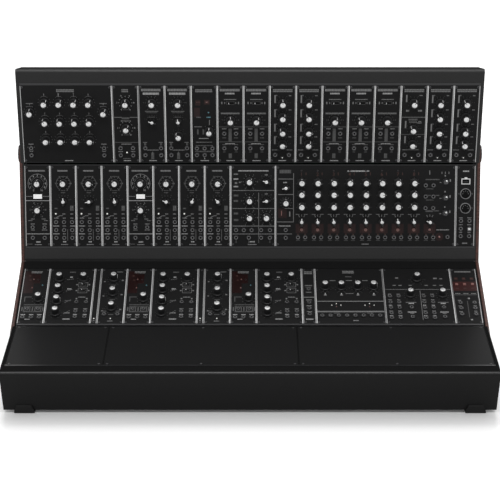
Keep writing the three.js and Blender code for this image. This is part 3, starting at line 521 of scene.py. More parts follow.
# Cases, each carved from its profile
def build_case(name, case):
    cuts = [extruded(outline, -HALF_INNER, HALF_INNER) for outline in (cavity_outline(), opening_outline())]
    for side in (-1, 1):
        ends = between(side, BRACKET_INNER - POCKET_GAP, HALF_OUTER + 6)
        cuts.append(extruded(bracket_outline(POCKET_GAP), *ends, place=case.inverted()))
    cuts.append(upright(arc_points(INLET_X, FITTINGS_Y, 3.1, 24), BASE_LEVEL - 5, BASE_LEVEL + 7))
    corners = ((-6.8, -9.65), (6.8, -9.65), (6.8, 9.65), (-6.8, 9.65))
    well = [(ROCKER_X + x, FITTINGS_Y + y) for x, y in corners]
    cuts.append(upright(well, BASE_LEVEL - 6, BASE_LEVEL + 8))
    mesh = carved(extruded(case_outline(), -HALF_OUTER, HALF_OUTER, bevel=0.8), *cuts)
    # Painted light: the upper case's shell takes a lighter copy of the lower case's coat
    look = "upper_case" if name == "upper" else "case"
    finish_solid(f"{name}_case_shell", mesh, case, look, f"{name}_case")
    fittings = Part()
    for side in (-1, 1):
        ends = [(PIVOT[0] + y, BASE_LEVEL + 0.4) for y in (-8, 8)]
        outline = [ends[0], *arc_points(*PIVOT, 8, 16, math.pi, math.pi), ends[1]]
        left, right = between(side, 300.3, 304.3)
        bore = cylinder_mesh(3.3, left - 4, right + 4, *PIVOT)
        fittings.add(mesh_shape(carved(extruded(outline, left, right, bevel=0.4), bore)), "case")
    inlet = move(INLET_X, FITTINGS_Y)
    low, high = BASE_LEVEL - 2, BASE_LEVEL + 9
    tube = [(3.1, low), (5.7, low), (6.0, low + 0.3), (6.0, high), (3.1, high)]
    fittings.add(lathe(tube, 36, closed=True), "case", inlet)
    low, high = BASE_LEVEL, BASE_LEVEL + 8
    fittings.add(lathe([(0, low), (1, low), (1, high), (0, high)], 20), "steel", inlet)
    fittings.add(rim(13.6, 19.3, 2.2, BASE_LEVEL - 1.8, BASE_LEVEL + 1.5), "knob", move(ROCKER_X, FITTINGS_Y))
    fittings.make(f"{name}_base_fittings", case, "case_paint")


def add_screw(part, at, radius):
    head = [(1, 0), (1, 0.25), (0.75, 0.5), (0, 0.58)]
    part.add(lathe([(radius * wide, radius * high) for wide, high in head], 20), "screw", at)
    # Painted shade: the slots across the screw head are near-black bars
    for angle in (0.4, 0.4 + UP):
        slot = slab(radius * 1.1, radius * 0.24, radius * 0.5, radius * 0.62, radius * 0.02)
        part.add(slot, "hollow", at @ turn(angle, "Z"))


# Brackets, with their screws, and the clamp knobs
def build_bracket(name, side):
    left, right = between(side, BRACKET_INNER, BRACKET_OUTER)
    middle = arm_end(UPPER_ARM)
    mesh = carved(extruded(bracket_outline(0, 22), left, right, bevel=0.9),
                  cylinder_mesh(3.3, left - 4, right + 4, *middle))
    finish_solid(f"{name}_bracket_wood", mesh, IDENTITY, "wood", f"{name}_bracket")
    outward = turn(side * UP, "Y")
    screws, knob = Part(), Part()
    for lines, distances in ((UPPER_ARM, (34, 120)), (LOWER_ARM, (34, 92, 150))):
        for distance in distances:
            spot = lines[0] + lines[2] * distance + lines[3] * BRACKET_WIDTH / 2
            add_screw(screws, move(side * BRACKET_OUTER, *spot) @ outward, 3.0)
    screws.make(f"{name}_bracket_screws", IDENTITY, "steel")
    at = move(side * BRACKET_OUTER, *middle) @ outward
    head = [(0, 0.3), (13.2, 0.3), (13.9, 0.7), (14.0, 1.8), (13.2, 2.4), (9.5, 2.4), (8.6, 2.0), (0, 2.0)]
    knob.add(lathe(head, 144, lambda i, a: 1 - 0.035 * (1 + math.cos(12 * a)) if 1 <= i <= 4 else 1),
             "knob", at)
    knob.add(lathe([(0, -5.1), (2.9, -5.1), (2.9, 0.6), (0, 0.6)], 32), "steel", at)
    knob.add(lathe([(0, 2.0), (3.4, 2.0), (3.4, 2.5), (2.9, 2.7), (0, 2.7)], 32), "steel", at)
    knob.make(f"{name}_clamp_knob_fluted", IDENTITY, "knob_plastic", f"{name}_clamp_knob")


# Tilt stands: legs, pivot pins, cross bar and rubber sleeves
SLEEVES, SLEEVES_LENGTH, SLEEVES_END, SLEEVE_RADIUS = 12, 44, 292, 7


def build_stand(name, case, turned):
    drop = (LOWER @ Vector((0, *PIVOT))).z
    length = (drop - SLEEVE_RADIUS) / math.cos(math.radians(20))
    leg = arc_points(0, 0, 6, 16, 0, math.pi) + arc_points(0, -length, 6, 16, math.pi, math.pi)
    part = Part()

    def add(mesh, look="steel"):
        part.add(mesh_shape(mesh), look)

    for side in (-1, 1):
        add(extruded(leg, *between(side, 296, 300), bevel=0.5))
        add(cylinder_mesh(3, *between(side, 299.5, 305), 0, 0))
        for ring in range(SLEEVES):
            start = side * (SLEEVES_END - SLEEVES_LENGTH + ring * SLEEVES_LENGTH / SLEEVES)
            low, high = sorted((start, start + side * SLEEVES_LENGTH / SLEEVES))
            sleeve = arc_points(0, -length, SLEEVE_RADIUS, 40)
            add(extruded(sleeve, low + 0.01, high - 0.01, bevel=0.45), "rubber")
    add(cylinder_mesh(4.5, -296.5, 296.5, 0, -length, 40))
    place = case @ move(0, *PIVOT) @ turn(turned, "X")
    part.make(f"{name}_bail", place, "steel", f"{name}_tilt_stand")


# Controls on the panels, drawn about their own axis
SHAFT = lathe([(0, -8.9), (2.97, -8.9), (2.97, 0.6), (0, 0.6)], 32)
TOGGLE_LEVER = lathe([(0, -1), (1.15, -1), (1.2, 3), (1.75, 9.6), (1.7, 11.4), (1.2, 12.4), (0, 12.7)], 32)
MOVING_BUTTON = lathe([(0, -6.9), (2.62, -6.9), (2.65, 2.3), (2.35, 2.7), (0, 2.8)], 36)
FIXED_BUTTON = lathe([(0, 0), (2.9, 0), (2.9, 2.4), (2.5, 2.8), (0, 2.9)], 36)
FOOT_GAP = {True: 0.5, False: 0.1}


def add_knob(part, at, moving):
    base = FOOT_GAP[moving]
    part.add(lathe([(0, base), (6.75, base), (6.95, base + 0.25), (6.8, 2.45), (6.05, 2.95), (5.75, 11.6),
                    (5.35, 12.05), (4.9, 12.05)], 96,
                   lambda i, a: 1 - 0.022 * (1 + math.cos(24 * a)) if 4 <= i <= 5 else 1), "knob", at)
    part.add(lathe([(4.95, 12.05), (4, 12.1), (4, 12.35), (3.6, 12.5), (1.2, 12.55), (0, 12.55)], 48),
             "cap", at)
    part.add(lathe([(4.95, 12.0), (4.95, 12.12), (3.95, 12.16)], 48), "knob", at)
    part.add(slab(0.7, 3.0, 12.05, 12.66, 0.05), "knob", at @ move(0, 2.6))
    part.add(slab(0.8, 0.5, 3.2, 11.5, 0.1), "pointer", at @ move(0, 5.85))
    if moving:
        part.add(SHAFT, "steel", at)


def add_pointer(part, at, moving):
    base = FOOT_GAP[moving]
    part.add(lathe([(0, base), (4.7, base), (4.8, 0.8), (4.8, 2.5), (4.4, 2.8), (0, 2.8)], 48), "knob", at)
    mesh = upright(rounded([((-1.65, -6.5), 0.6), ((1.65, -6.5), 0.6), ((1.65, 5.0), 0.3), ((0, 6.6), 0.3),
                            ((-1.65, 5.0), 0.3)], 4), 2.5, 9.15)
    work = bmesh.new()
    work.from_mesh(mesh)
    top = [e for e in work.edges if all(v.co.z > 9 for v in e.verts)]
    bmesh.ops.bevel(work, geom=top, offset=0.45, segments=2, profile=0.5, affect="EDGES")
    work.to_mesh(mesh)
    work.free()
    part.add(mesh_shape(mesh), "knob", at)
    part.add(slab(1.0, 5.2, 9.1, 9.35, 0.1), "pointer", at @ move(0, 3.4))
    part.add(lathe([(2.5, 8.6), (2.5, 9.35), (2.2, 9.55), (0, 9.6)], 32), "cap", at)
    if moving:
        part.add(SHAFT, "steel", at)


def add_toggle_seat(part, at):
    part.add(lathe([(5.0, 0), (5.0, 0.5), (0, 0.5)], 40), "nut", at)
    part.add(lathe([(4.7, 0.5), (4.7, 1.6), (4.4, 1.9), (2.2, 1.9)], 6), "nut", at)
    part.add(lathe([(3.1, 1.8), (3.1, 4.4), (2.9, 4.75), (2.25, 4.75), (2.2, 2.0)], 32), "sleeve", at)


def add_jack(part, at):
    part.add(lathe([(3.8, 0), (3.8, 1.3), (3.4, 1.7), (2.7, 1.7)], 60,
                   lambda i, a: 1 + 0.015 * math.cos(20 * a) if i < 2 else 1), "nut", at)
    part.add(lathe([(2.7, 1.7), (2.6, 1.9), (2, 1.9), (1.9, 1.2), (1.9, 0.12), (0, 0.12)], 40), "sleeve", at)
    # The socket's dark inside and the shade in its hole, painted on a near-black disc
    part.add(lathe([(1.88, 0.14), (0, 0.14)], 24), "hollow", at)


def add_lamp(part, at, look, radius):
    part.add(lathe([(radius + 0.5, 0), (radius + 0.5, 0.5), (radius, 0.6)], 24), "nut", at)
    glass = [(radius, 0), (radius, 0.7), (radius * 0.8, 1.3), (radius * 0.4, 1.6), (0, 1.7)]
    part.add(lathe(glass, 24), look, at)


MARK_LOOKS = {"m": "mid", "f": "faint", "p": "print", "r": "red_print", "b": "blue_lamp"}
LAMP_LOOKS = {"white": "white_lamp", "red": "red_lamp", "blue": "blue_lamp", "unlit": "red_window"}
BLOCKS, BLOCK_GAP = (1.5, 0.9, 2.0, 1.2, 0.8, 1.7), 0.35


def around(x, y, radius, angle):
    """A point at a clockwise angle from straight up."""
    return x + radius * math.sin(angle), y + radius * math.cos(angle)


def fan(first, last, count):
    return [math.radians(first + (last - first) * i / (count - 1)) for i in range(count)]


def read_rows(rows):
    """Each row of a text as its first word, a place across, a place up and its sizes."""
    for row in filter(str.strip, rows.split(";")):
        kind, xs, ys, *sizes = row.split()
        for x in xs.split(","):
            for y in ys.split(","):
                yield kind, float(x), float(y), [float(size) for size in sizes]


class Face:
    """Draws one module's marks and fittings, in millimetres from its lower left corner."""

    def __init__(self, marks, fittings, x0, width):
        self.marks, self.fittings, self.x0, self.width = marks, fittings, x0, width
        self.middle = width / 2

    def at(self, x, y):
        return move(self.x0 + x, y)

    def line(self, x1, y1, x2, y2, look, thick):
        self.marks.add(stroke(self.x0 + x1, y1, self.x0 + x2, y2, thick), look)

    def bar(self, x, y, wide, high, look):
        self.line(x - wide / 2, y, x + wide / 2, y, look, high)

    def frame(self, x, y, wide, high, look, thick):
        x1, y1, x2, y2 = x - wide / 2, y - high / 2, x + wide / 2, y + high / 2
        for a, b, c, d in ((x1, y1, x2, y1), (x2, y1, x2, y2), (x2, y2, x1, y2), (x1, y2, x1, y1)):
            self.line(a, b, c, d, look, thick)

    def words(self, x, y, wide, high, look):
        """A row of small blocks."""
        at, end, index = x - wide / 2, x + wide / 2, int(7 * x + 3 * y)
        while at < end - 0.3:
            long = min(BLOCKS[index % len(BLOCKS)], end - at)
            self.line(at, y, at + long, y, look, high)
            at += long + BLOCK_GAP
            index += 1

    def table(self, rows, x=0.0, y=0.0):
        """Rows of what to draw, places across, places up, and sizes, from an origin."""
        for kind, across, up, sizes in read_rows(rows):
            spot = x + across, y + up
            if kind == "jack":
                add_jack(self.fittings, self.at(*spot))
            elif kind in LAMP_LOOKS:
                add_lamp(self.fittings, self.at(*spot), LAMP_LOOKS[kind], *sizes)
            elif kind == "field":
                self.field(*spot, *sizes)
            else:
                draw = self.words if sizes[1] > 0.9 and sizes[0] > 2.5 else self.bar
                draw(*spot, *sizes, MARK_LOOKS[kind])

    def field(self, x, y, wide, high, look="red_window"):
        self.marks.add(stroke(self.x0 + x - wide / 2, y, self.x0 + x + wide / 2, y, high, FIELD_HEIGHT), look)

    def ticks(self, x, y, radius, count, long, look, thick, half=150):
        for angle in fan(-half, half, count):
            self.line(*around(x, y, radius, angle), *around(x, y, radius + long, angle), look, thick)

    def numbers(self, x, y, radius, values, high, look, half=150):
        for value, angle in zip(values, fan(-half, half, len(values))):
            self.marks.add(glyph(str(value), high), look, self.at(*around(x, y, radius, angle)))

    def arc(self, x, y, radius, first, last, look, thick):
        spots = fan(first, last, 17)
        for a, b in zip(spots, spots[1:]):
            self.line(*around(x, y, radius, a), *around(x, y, radius, b), look, thick)

    def dial(self, x, y, radius, count, thick, high, look="mid", half=150):
        """A dial's ring of ticks and its plain numbers."""
        self.ticks(x, y, radius, count, 1.3, look, thick, half)
        if high:
            values = range(0, 11, 2) if half > 90 else range(1, 6)
            self.numbers(x, y, radius + 3.6, values, high, look, half)

    def block(self, x, y, look, *sizes):
        self.fittings.add(slab(*sizes), look, self.at(x, y))

    def slide_switch(self, x, y, wide, high):
        # Painted shade: a near-black field for the switch's slot
        self.field(x, y, wide, high, "hollow")
        self.frame(x, y, wide, high, "faint", 0.4)
        self.block(x - wide / 5, y, "knob", 2.6, high * 0.7, 0, 2.4, 0.5)
        self.block(x - wide / 5, y, "pointer", 0.5, high * 0.6, 2.3, 2.45, 0.05)

    def screws(self, xs):
        for x in xs:
            for y in (SCREW_INSET, PANEL - SCREW_INSET):
                add_screw(self.fittings, self.at(x, y), 1.9)

    def foot(self, wide=12):
        self.words(self.middle, 3.0, wide, 1.5, "print")


# Faces of the module kinds: lines, rings, rows of blocks, and sockets
def filter_bank(face, controls):
    face.foot(13)
    for place, (x, y) in enumerate(controls):
        face.dial(x, y, 8.8, 11, 0.45, 0)
        face.line(x, y + 11.2, x, y + 14.6, "mid", 0.9)
        if place < 12:
            face.table("f 0 9.6 7.5 1", x, y)
        else:
            face.table("m 0 13.8 11 1.2; f 0 8.8 9 1.2", x, y)
    face.table("m 70 121.4 27 2; m 70 118.8 27 1.8; m 59,82.5 113.8 .9 6")
    for x in (12.6, face.width - 15.4):
        face.table("m 0 31 8 1.5; jack 0 24.5,12.4", x)
        face.ticks(x, 24.5, 4.6, 5, 1.2, "mid", 0.8)
        face.table("m 0 18.6 5 1.2", x)


def noise(face, controls):
    face.foot(11)
    for x, y in controls:
        face.dial(x, y, 9.6, 11, 0.7, 2.4, "print")
        face.table("f 0 -11.5 8 1.3", x, y)
    face.table("""m 20 121.5,118.6 10 2; m 8,32.6 76 12.5 .8; f 20 74.4 12 3; f 20 70 16 2; f 20 34 37 .8;
        m 20 31 16 1.6; m 10.5,30 18.4 7 1.5; f 20 6.5 12 1.6; jack 10.5,30 12.4,24.5""")
    face.table("white 0 17 1.2", face.middle)


def coupler(face, controls):
    face.foot()
    face.dial(*controls[0], 9.0, 11, 0.45, 1.3)
    for x, y in controls[1:]:
        face.dial(x, y, 8.4, 7, 0.5, 1.3, "faint", 75)
    face.table("""m 19.6 121.2 30 4; p 19.6 115.2 25 3.6; m 20 86 20 1.2; f 20 83.8 17 1.4;
        f 20 76.2 10 1.4; m 8.6,32.8 34 6.4 .9; f 8.6,33.6 30.8 3 4; m 20 21 19 1.3; f 20 11 4.4 11;
        m 20 15 .8 6; jack 8.6,33.4 24.5,12.6""")


def meter(face, controls):
    face.foot(13)
    face.dial(*controls[0], 8.8, 9, 0.45, 0)
    face.table("""field 24.5 101 9 8; field 10.5 100 8 9; field 9 84 9 16; m 20 121.4,118.6 26 2;
        r 24.5 101 5 4; r 11 101 6 1.6; f 11.7 76 7 2; b 27 76 6 1.8;
        m 28.3 67.6 1 8; m 10.4 60.2 12 1.1; f 10,18.6 51.6 2.2 8.4; p 19.4 40.6 15.4 1.2;
        m 19.4 34.3 25 1.2; f 20 28.6 27 1.4; f 20 18.6 29 2.2; p 20.3 8.8 1.2 6.6; red 24.5 101 1.1;
        blue 27 84 1.1; jack 8.2,20.3,32.6 12.8,24""")


def voice_meter(face, controls):
    face.table("p 15 9.6 8 1.8")
    face.dial(*controls[0], 8.8, 9, 0.45, 0)
    face.table("""field 10 96 15 52; field 22 104 10 22; m 20 121 17 2; m 20 118.4 17 1.6;
        r 10 111 3 2.2; r 11.5 101 3 2; f 12 61 12 1.8; f 7 55 1.2 10;
        f 22 43,26.6 30 1.6; f 22 39.4 30 1.2; f 5,37,21 33 2 9;
        p 7.6 20.2 7 1.8; p 20.4 20.2 6.4 1.8; p 33 20.2 7 1.8; red 17 102 1.1; unlit 24 102 1.1;
        red 16 82 1.1; blue 31.5 88 1.1; jack 12.6,29.4 33; jack 7.6,20.4,33 13.6""")
    for x in (12.6, 29.4):
        face.frame(x, 33, 9.2, 9.2, "mid", 0.6)


def amplifier(face, controls):
    face.foot(13)
    face.slide_switch(face.middle, 99.6, 12, 4.4)
    face.dial(*controls[0], 9.2, 11, 0.5, 1.5)
    face.table("""m 19.6 121 31 4; p 19.6 115.4 15 2.6; m 20 105.6 19 1.3; m 7.2,33 99.8 1.6 4;
        m 11.6,28.8 99.8 1 3; m 20 83.2 29 1.1; m 20 81.8 29 .8; f 20 60 38 .8; m 10.8,29 56.8 7 1.6;
        f 20 45.8 5.4 23; f 20 34.8 38 .8; p 19.6 31.6 15.4 1.3; f 10.6,29 41.6 6 1.4;
        f 10.6,29 30.2 6 1.4; f 20 11.2 5 8; f 10.6,29 17.8 4 1.2; jack 10.6,29 49,24.2""")


def stack(face, controls, radius, beside, rows):
    """Dials one above the other with marks beside them, and two sockets below."""
    face.foot()
    for x, y in controls:
        face.dial(x, y, radius, 11, 0.45, 1.3, "faint")
        face.table(beside, x, y)
    face.table(f"m 20 121.6 30 2.2; m 20 118.8 30 2; {rows}; f 20 8.6 4 2.4; jack 9,30.6 13")
    face.table("white 0 8 .8", face.middle)


def envelope(face, controls):
    stack(face, controls, 8.4, "m -12 6 2.2 13; f -9.6 12 2 2; m 11.4 11.6 4 1.4", "m 8.4,31.6 21.2 9 1")


def delay(face, controls):
    stack(face, controls, 8.6, "m -11.6 7 2.2 12; m 10.6 12 5 1.4",
          """m 11 87 5 3; m 30 87 6 3; m 20 76.2 38 1; f 20 72.2 14 3; f 20 68 12 2.4; m 30 66.6 7 1.4;
          f 20 47.4 38 1; m 18 21.4 26 1""")


def driver(face, controls):
    face.table("p 20 6.8 7 2; m 20 2.6 11 1.4")
    (x, y), (x2, y2) = controls
    face.ticks(x, y, 9.0, 21, 1.5, "mid", 0.6)
    face.numbers(x, y, 12.6, range(0, 11), 3.0, "print")
    face.arc(x, y, 15.0, -128, 128, "mid", 0.7)
    face.field(20.3, 79.4, 13.6, 7.0, "white_print")
    face.dial(x2, y2, 8.8, 11, 0.8, 2.6, "mid")
    face.table("""m 19.6 120.2 26 2.4; m 6.6,33.6 79.6 9.6 1; p 20.3 72.8 38 .89; m 12,29 43.6 6 1.2;
        m 8,33 41 6 1; m 11.6 35.6 6 1.5; m 30.4 35.6 7 1.5; m 11.6 26 6 1.5; m 30.4 26 8 1.5;
        p 20.3 19.8 37 .89; f 8 3.4 5 1.2; jack 11.6,30.4 13.6,30.4""")


def oscillator(face, controls):
    face.table("p 21 7.2 5 2; m 21 2.8 11 1.5")
    (x, y), (x2, y2) = controls
    face.dial(x, y, 8.8, 11, 0.6, 2.2, "mid")
    face.arc(x, y, 11.2, -150, 150, "faint", 0.8)
    face.dial(x2, y2, 8.4, 6, 0.7, 1.6, "faint", 75)
    face.line(8.7, 46, 14, 48.8, "mid", 0.8)
    face.line(14, 48.8, 18.6, 48.8, "mid", 0.8)
    face.table("""m 19.4 120.2 16 2.4; f 20 89,85.6 7 1.4; f 33.4 60.8 5.4 8; m 33.4 62.6 3 2.4;
        f 8.2 60.4 4.4 2; m 20.6,33 51.6 4.6 1.5; m 8.6 45 7 1.4; m 21,33 45 4.6 1.4; p 8.2 32.4 9.6 1.2;
        m 21 32.4 5.4 1.4; p 35 32.4 8.6 1.2; p 8.2 19.8 9.6 1.2; m 21 19.8 5 1.4; f 34 19.8 5 1.4;
        f 26 18 1 18; f 38.2 19 1 22; white 7.9 52 1.3; jack 8.2,20.7,33.4 13.6,26,38.8""")


def switcher(face, controls):
    face.table("p 34 7.2 8 2; m 34 2.8 14 1.6")
    for index, (x, y) in enumerate(controls):
        if index < 3 or index == 5:
            face.dial(x, y, 9.2, 11, 0.55, 2.0)
        else:
            face.dial(x, y, 8.2, 7, 0.55, 2.0, "faint", 75)
            face.table("m 0 10.8 5 1.8", x, y)
    for x in (8.4, 28.6, 44.2, 62):
        face.line(x, 12, x, 5, "faint", 1.0)
    face.line(44.2, 85.3, 44.2, 12, "mid", 0.8)
    face.table("""p 36 120.2 48 1.8; m 8.3 114.8 6.6 2; p 8.3 107.2 7.4 2.2; m 8.6 100.8 4 3;
        p 8.3 95.2 7 2.2; m 14.6 102 3 2; m 36 89 66 1.1; f 8.4 81,72.4 7 3; m 36 60.3 66 1.1;
        f 8.4 52.4,42 7 3; m 36 32.3 66 1.4; m 36 19.6 67 1.1; jack 8.4,20.7,33,48,62 25.9;
        jack 8.4,28.6,48,62 13.8""")


def step_marks(face, x, number):
    """One step's number, lamp, selector ticks, red push button field and two sockets."""
    if number:
        face.marks.add(glyph(str(number), 5.4), "red_print", face.at(x - 0.6, 114.8))
        face.table("r 6.6 115.4 .9 4.4; m -6.4,6.4 51 6 .8; unlit -.4 120.4 .8", x)
    for side in (-1, 1):
        face.line(x + side * 3.4, 46.6, x + side * 5.0, 50, "mid", 0.8)
        face.field(x + side * 5.6, 28.4, 7.6, 15)
    face.line(x, 47.4, x, 51, "mid", 0.8)
    face.arc(x, 26.6, 4.6, 0, 360, "red_print", 0.5)
    face.table("""field 0 33.4 3.8 4.6; field 0 22 3.8 3; jack -5.7,5.7 14.2; r -5.7,5.7 19.2 2.4 1.5;
        f -5.7,5.7 9.4 6 1""", x)


def sequencer(face, controls):
    face.table("m 0 3.4 12 1.5", face.middle)
    for step in range(8):
        for x, y in controls[step * 5:step * 5 + 3]:
            face.ticks(x, y, 7.8, 7, 1.0, "faint", 0.5)
        step_marks(face, x, step + 1)
    face.table("p 130 119.8 34 2.2")
    last_x = controls[40][0]
    step_marks(face, last_x, None)
    face.table("red 0 26.6 2", last_x)
    for (x, y), level in zip(controls[41:44], (-5.6, 2, 8)):
        face.table("jack -31.6,-19.4 0", x, y + level)
        face.table("f -21 3.6 22 1.6", x, y)
        face.words(x - 25, y + level - 5.6, 12, 1.2, "faint")
        face.table("m -1 9.6 2 2.4; m -8 -1 3 1.4; m 7 2 2 4", x, y)
    x = controls[41][0]
    face.table("m -25.6 117.4 1.2 6.6; m -6.4,-1,4.6 117 1 3.6; p -3.6 26.2 20 1", x)
    face.arc(x - 9, 15, 4.6, 0, 360, "red_window", 3.6)
    face.table("red -9 15 1.8; jack 4 15", x)
    left_x = controls[44][0]
    face.line(28.1, 116.6, 28.1, 38.6, "mid", 0.8)
    face.table("field 10.6 52.8 13.4 15")
    face.marks.add(glyph("1", 8.0), "red_lamp", face.at(9.2, 52.8))
    face.ticks(left_x, controls[45][1], 8.0, 11, 1.2, "mid", 0.6)
    face.table("""f 15 119 18 5.6; m 15.4 107.2 23 .9; p 14.8 101.6 6 1.8; m 15.6 82.6 24 .9;
        m 20.6 60.3 13 .9; m 22.2 51.6 1.8 8; m 15 38.9 26 .9; p 14.2 32.4 18.4 1.4; m 13.8 19.7 24 .9""")
    face.table("jack 0 26,13.6", left_x)


def interface(face, controls):
    middle = face.middle
    face.table("p 0 119.6 9.6 2.2; m 0 4.8 8 2", middle)
    face.block(middle, 103.4, "cap", 14.2, 9.4, 0, 0.8, 0.3)
    # Painted shade: a near-black field inside the rectangular socket's shell
    face.block(middle, 103.4, "hollow", 11.4, 6.6, 0.7, 0.86, 0.02)
    face.block(middle, 102.8, "knob", 7.6, 2.0, 0.8, 1.3, 0.2)
    face.block(middle, 108.8, "cap", 4.4, 2.4, 0, 0.8, 0.2)
    for y in (83.8, 60.8):
        rim_profile = [(8.6, 0), (8.6, 0.9), (8.2, 1.2), (7.5, 1.2), (7.3, 0.2), (0, 0.2)]
        face.fittings.add(lathe(rim_profile, 64), "sleeve", face.at(middle, y))
        # Painted shade: a near-black disc inside the round socket
        face.fittings.add(lathe([(7.2, 0.22), (0, 0.22)], 48), "hollow", face.at(middle, y))
        for angle in (-UP, -UP / 2, 0, UP / 2, UP):
            pin = face.at(*around(middle, y, 4.4, angle))
            face.fittings.add(lathe([(0.6, 0.2), (0.6, 0.3), (0, 0.3)], 16), "sleeve", pin)
        for side in (-10.4, 10.4):
            add_screw(face.fittings, face.at(middle + side, y), 1.5)
    face.table("jack 8.6,22 16.4,28.2,40.8; m 8.6,22 45.4,34.4 6 1.4; m 8.6,22 22.4 5 1.4")
    face.block(22, 27.4, "cap", 5.4, 4.2, 0, 1.8, 0.5)


def ladder(face, controls):
    for x, y in controls[:4]:
        face.dial(x, y, 9.2, 9, 0.45, 0, "faint")
        for k in range(4):
            rise = (7 - y / 18) * 0.4 * k
            face.bar(x + 13 + 2.6 * k, y + rise, 1.6, 1.0, "mid")
    x, y = controls[4]
    face.dial(x, y, 9.2, 9, 0.45, 0)
    for y in (90, 76):
        face.frame(x, y, 14, 10.8, "mid", 0.6)
        face.slide_switch(x, y, 8, 4)
        for side in (-9.6, 9.6):
            face.bar(x + side, y, 2.4, 2.4, "mid")
    face.table("""f 36 120 9 2.6; p 34.6 108 4.4 2.6; p 33.4 80 6.2 2.6; f 33 52.4 9 2; m 34 24 9 2.4;
        p 34 10 11 2.2""")
    face.table("""m 0 60.6 11 2; m -8,8 57 2.4 3; m -7.4,7.4 33.4 6 2; p -7.4,7.4 20.6 6 1.8;
        jack -7.4,7.4 48.4,27,14.4""", x)


def strip(face, controls):
    face.table("white 0 10.4 1", face.middle)
    face.bar(face.middle, 6.4, 3, 1.4, "mid")


def wide_strip(face, controls):
    face.table("""m 10 120.6,116.6 13 2.6; m 10 88 11 1.8; f 10 84 9 1.6; m 10 72 8 1.8; p 10 60.4 17 .89;
        m 10 54 9 1.6; m 10 40.6 8 1.8; m 10 27 8 1.6; p 10 9.6 11 2.2""")
    face.table("jack 0 20.6,34,47.4,78.6", face.middle)


def shaper(face, controls):
    for x, y in controls:
        face.dial(x, y, 9.4, 11, 0.45, 1.6, "faint")
        face.table("m 14 -2 3 2.4; m -14 -5 2.4 2; f 0 -13.4 8 1.6", x, y)
    face.table("m 29 120.6 9 1.6; f 10,30.6 28 6 1.8; m 20 5.4 8 1.6; jack 10,30.6 20.4")
    face.table("white 0 10.4 1", face.middle)


def mixer(face, controls):
    face.table("m 60 6.6 8 2.4")
    for (x, y), (x2, _) in zip(controls, controls[1:]):
        face.line(x + 8, y + 18, x2 - 8, y + 18, "mid", 1.2)
    for x, y in controls:
        face.dial(x, y, 8.8, 9, 0.45, 1.4, "faint")
        face.line(x - 6, 84, x - 2.4, 74, "faint", 0.8)
        face.line(x + 6, 84, x + 2.4, 74, "faint", 0.8)
        face.table("p 0 68.6 1.6 3.4", x)
        face.bar(x, 65.6, 4.2, 2.6, "mid")
    for middle in (face.width * 0.295, face.width * 0.775):
        face.table("white -7 41 .8; white 0 44.6 .8; red 0 38 .8; white 7 41 .8; f 0 23.6 9 1.8", middle)
    face.table("""m 53 122,118.4 18 2.6; f 53 109 10 2; m 53 69 12 1.2; p 53.3 51,27.8 103 .89;
        m 53.3 26 103 .89""")
    for k in range(8):
        face.table("jack 0 17.4", 9 + k * (face.width - 18) / 7)


def output(face, controls):
    for x, y in controls:
        face.dial(x, y, 9.0, 11, 0.5, 1.5, "faint")
    for x in (17, 26, 42, 67, 80, 90):
        face.bar(x, 88.4, 5, 1.6, "mid")
    face.line(56.2, 76, 56.2, 8, "mid", 0.8)
    for x in (8.6, 22, 61, 74.4):
        face.table("""jack 0 12.4,23,35.6,48,62; m 0 67.6,54.6 5.4 1.6; p 0 41.8 5.4 1.6; m 0 28.6 5.4 1.6;
            p 0 17.8 5.4 1.6""", x)
    face.table("m 22 106 5 3; m 82 105 6 3; m 91 104 5 2; f 53 104 8 2; m 53.3 78.8 103 1")
    for x, _ in controls[::2]:
        face.table("m 0 48.4 16 1.4; p 0 45.8 8 2.4; p 0 26 13 2; m 0 23.2 6 2; jack 0 36.4,14.6", x)


def clock(face, controls):
    face.field(face.middle, 86.4, face.width - 3, 22, "red_panel")
    for x in (8, 20.3, 32.6):
        face.table("field 0 104 6.4 7", x)
        face.block(x, 90.6, "red_lamp", 4.6, 4.6, 0, 1.6, 0.4)
        face.table("r 0 104.6 3.6 4; r 0 81.4 4.6 1.4; m 0 69 8 1.8", x)
    face.table("""m 20 121 25 3; f 20 66 36 1.4; p 24 57.6 3 3; m 9 53,40 5 1.8; m 32 41,28 5 1.8;
        m 9 27 5 1.8; p 24 8.6 3 2.6""")
    face.line(21, 52, 21, 14, "faint", 0.8)
    face.table("jack 10,31.6 20.6,34.4,47")


STEP_XS = [0.1443 + 0.0891 * i for i in range(9)]
STEPS = "".join(f"k {x} .788,.644,.493; p {x} .304; b {x} .206; " for x in STEP_XS[:8])
CONTROLS = {"k": "knob", "p": "pointer", "t": "toggle", "b": "button"}
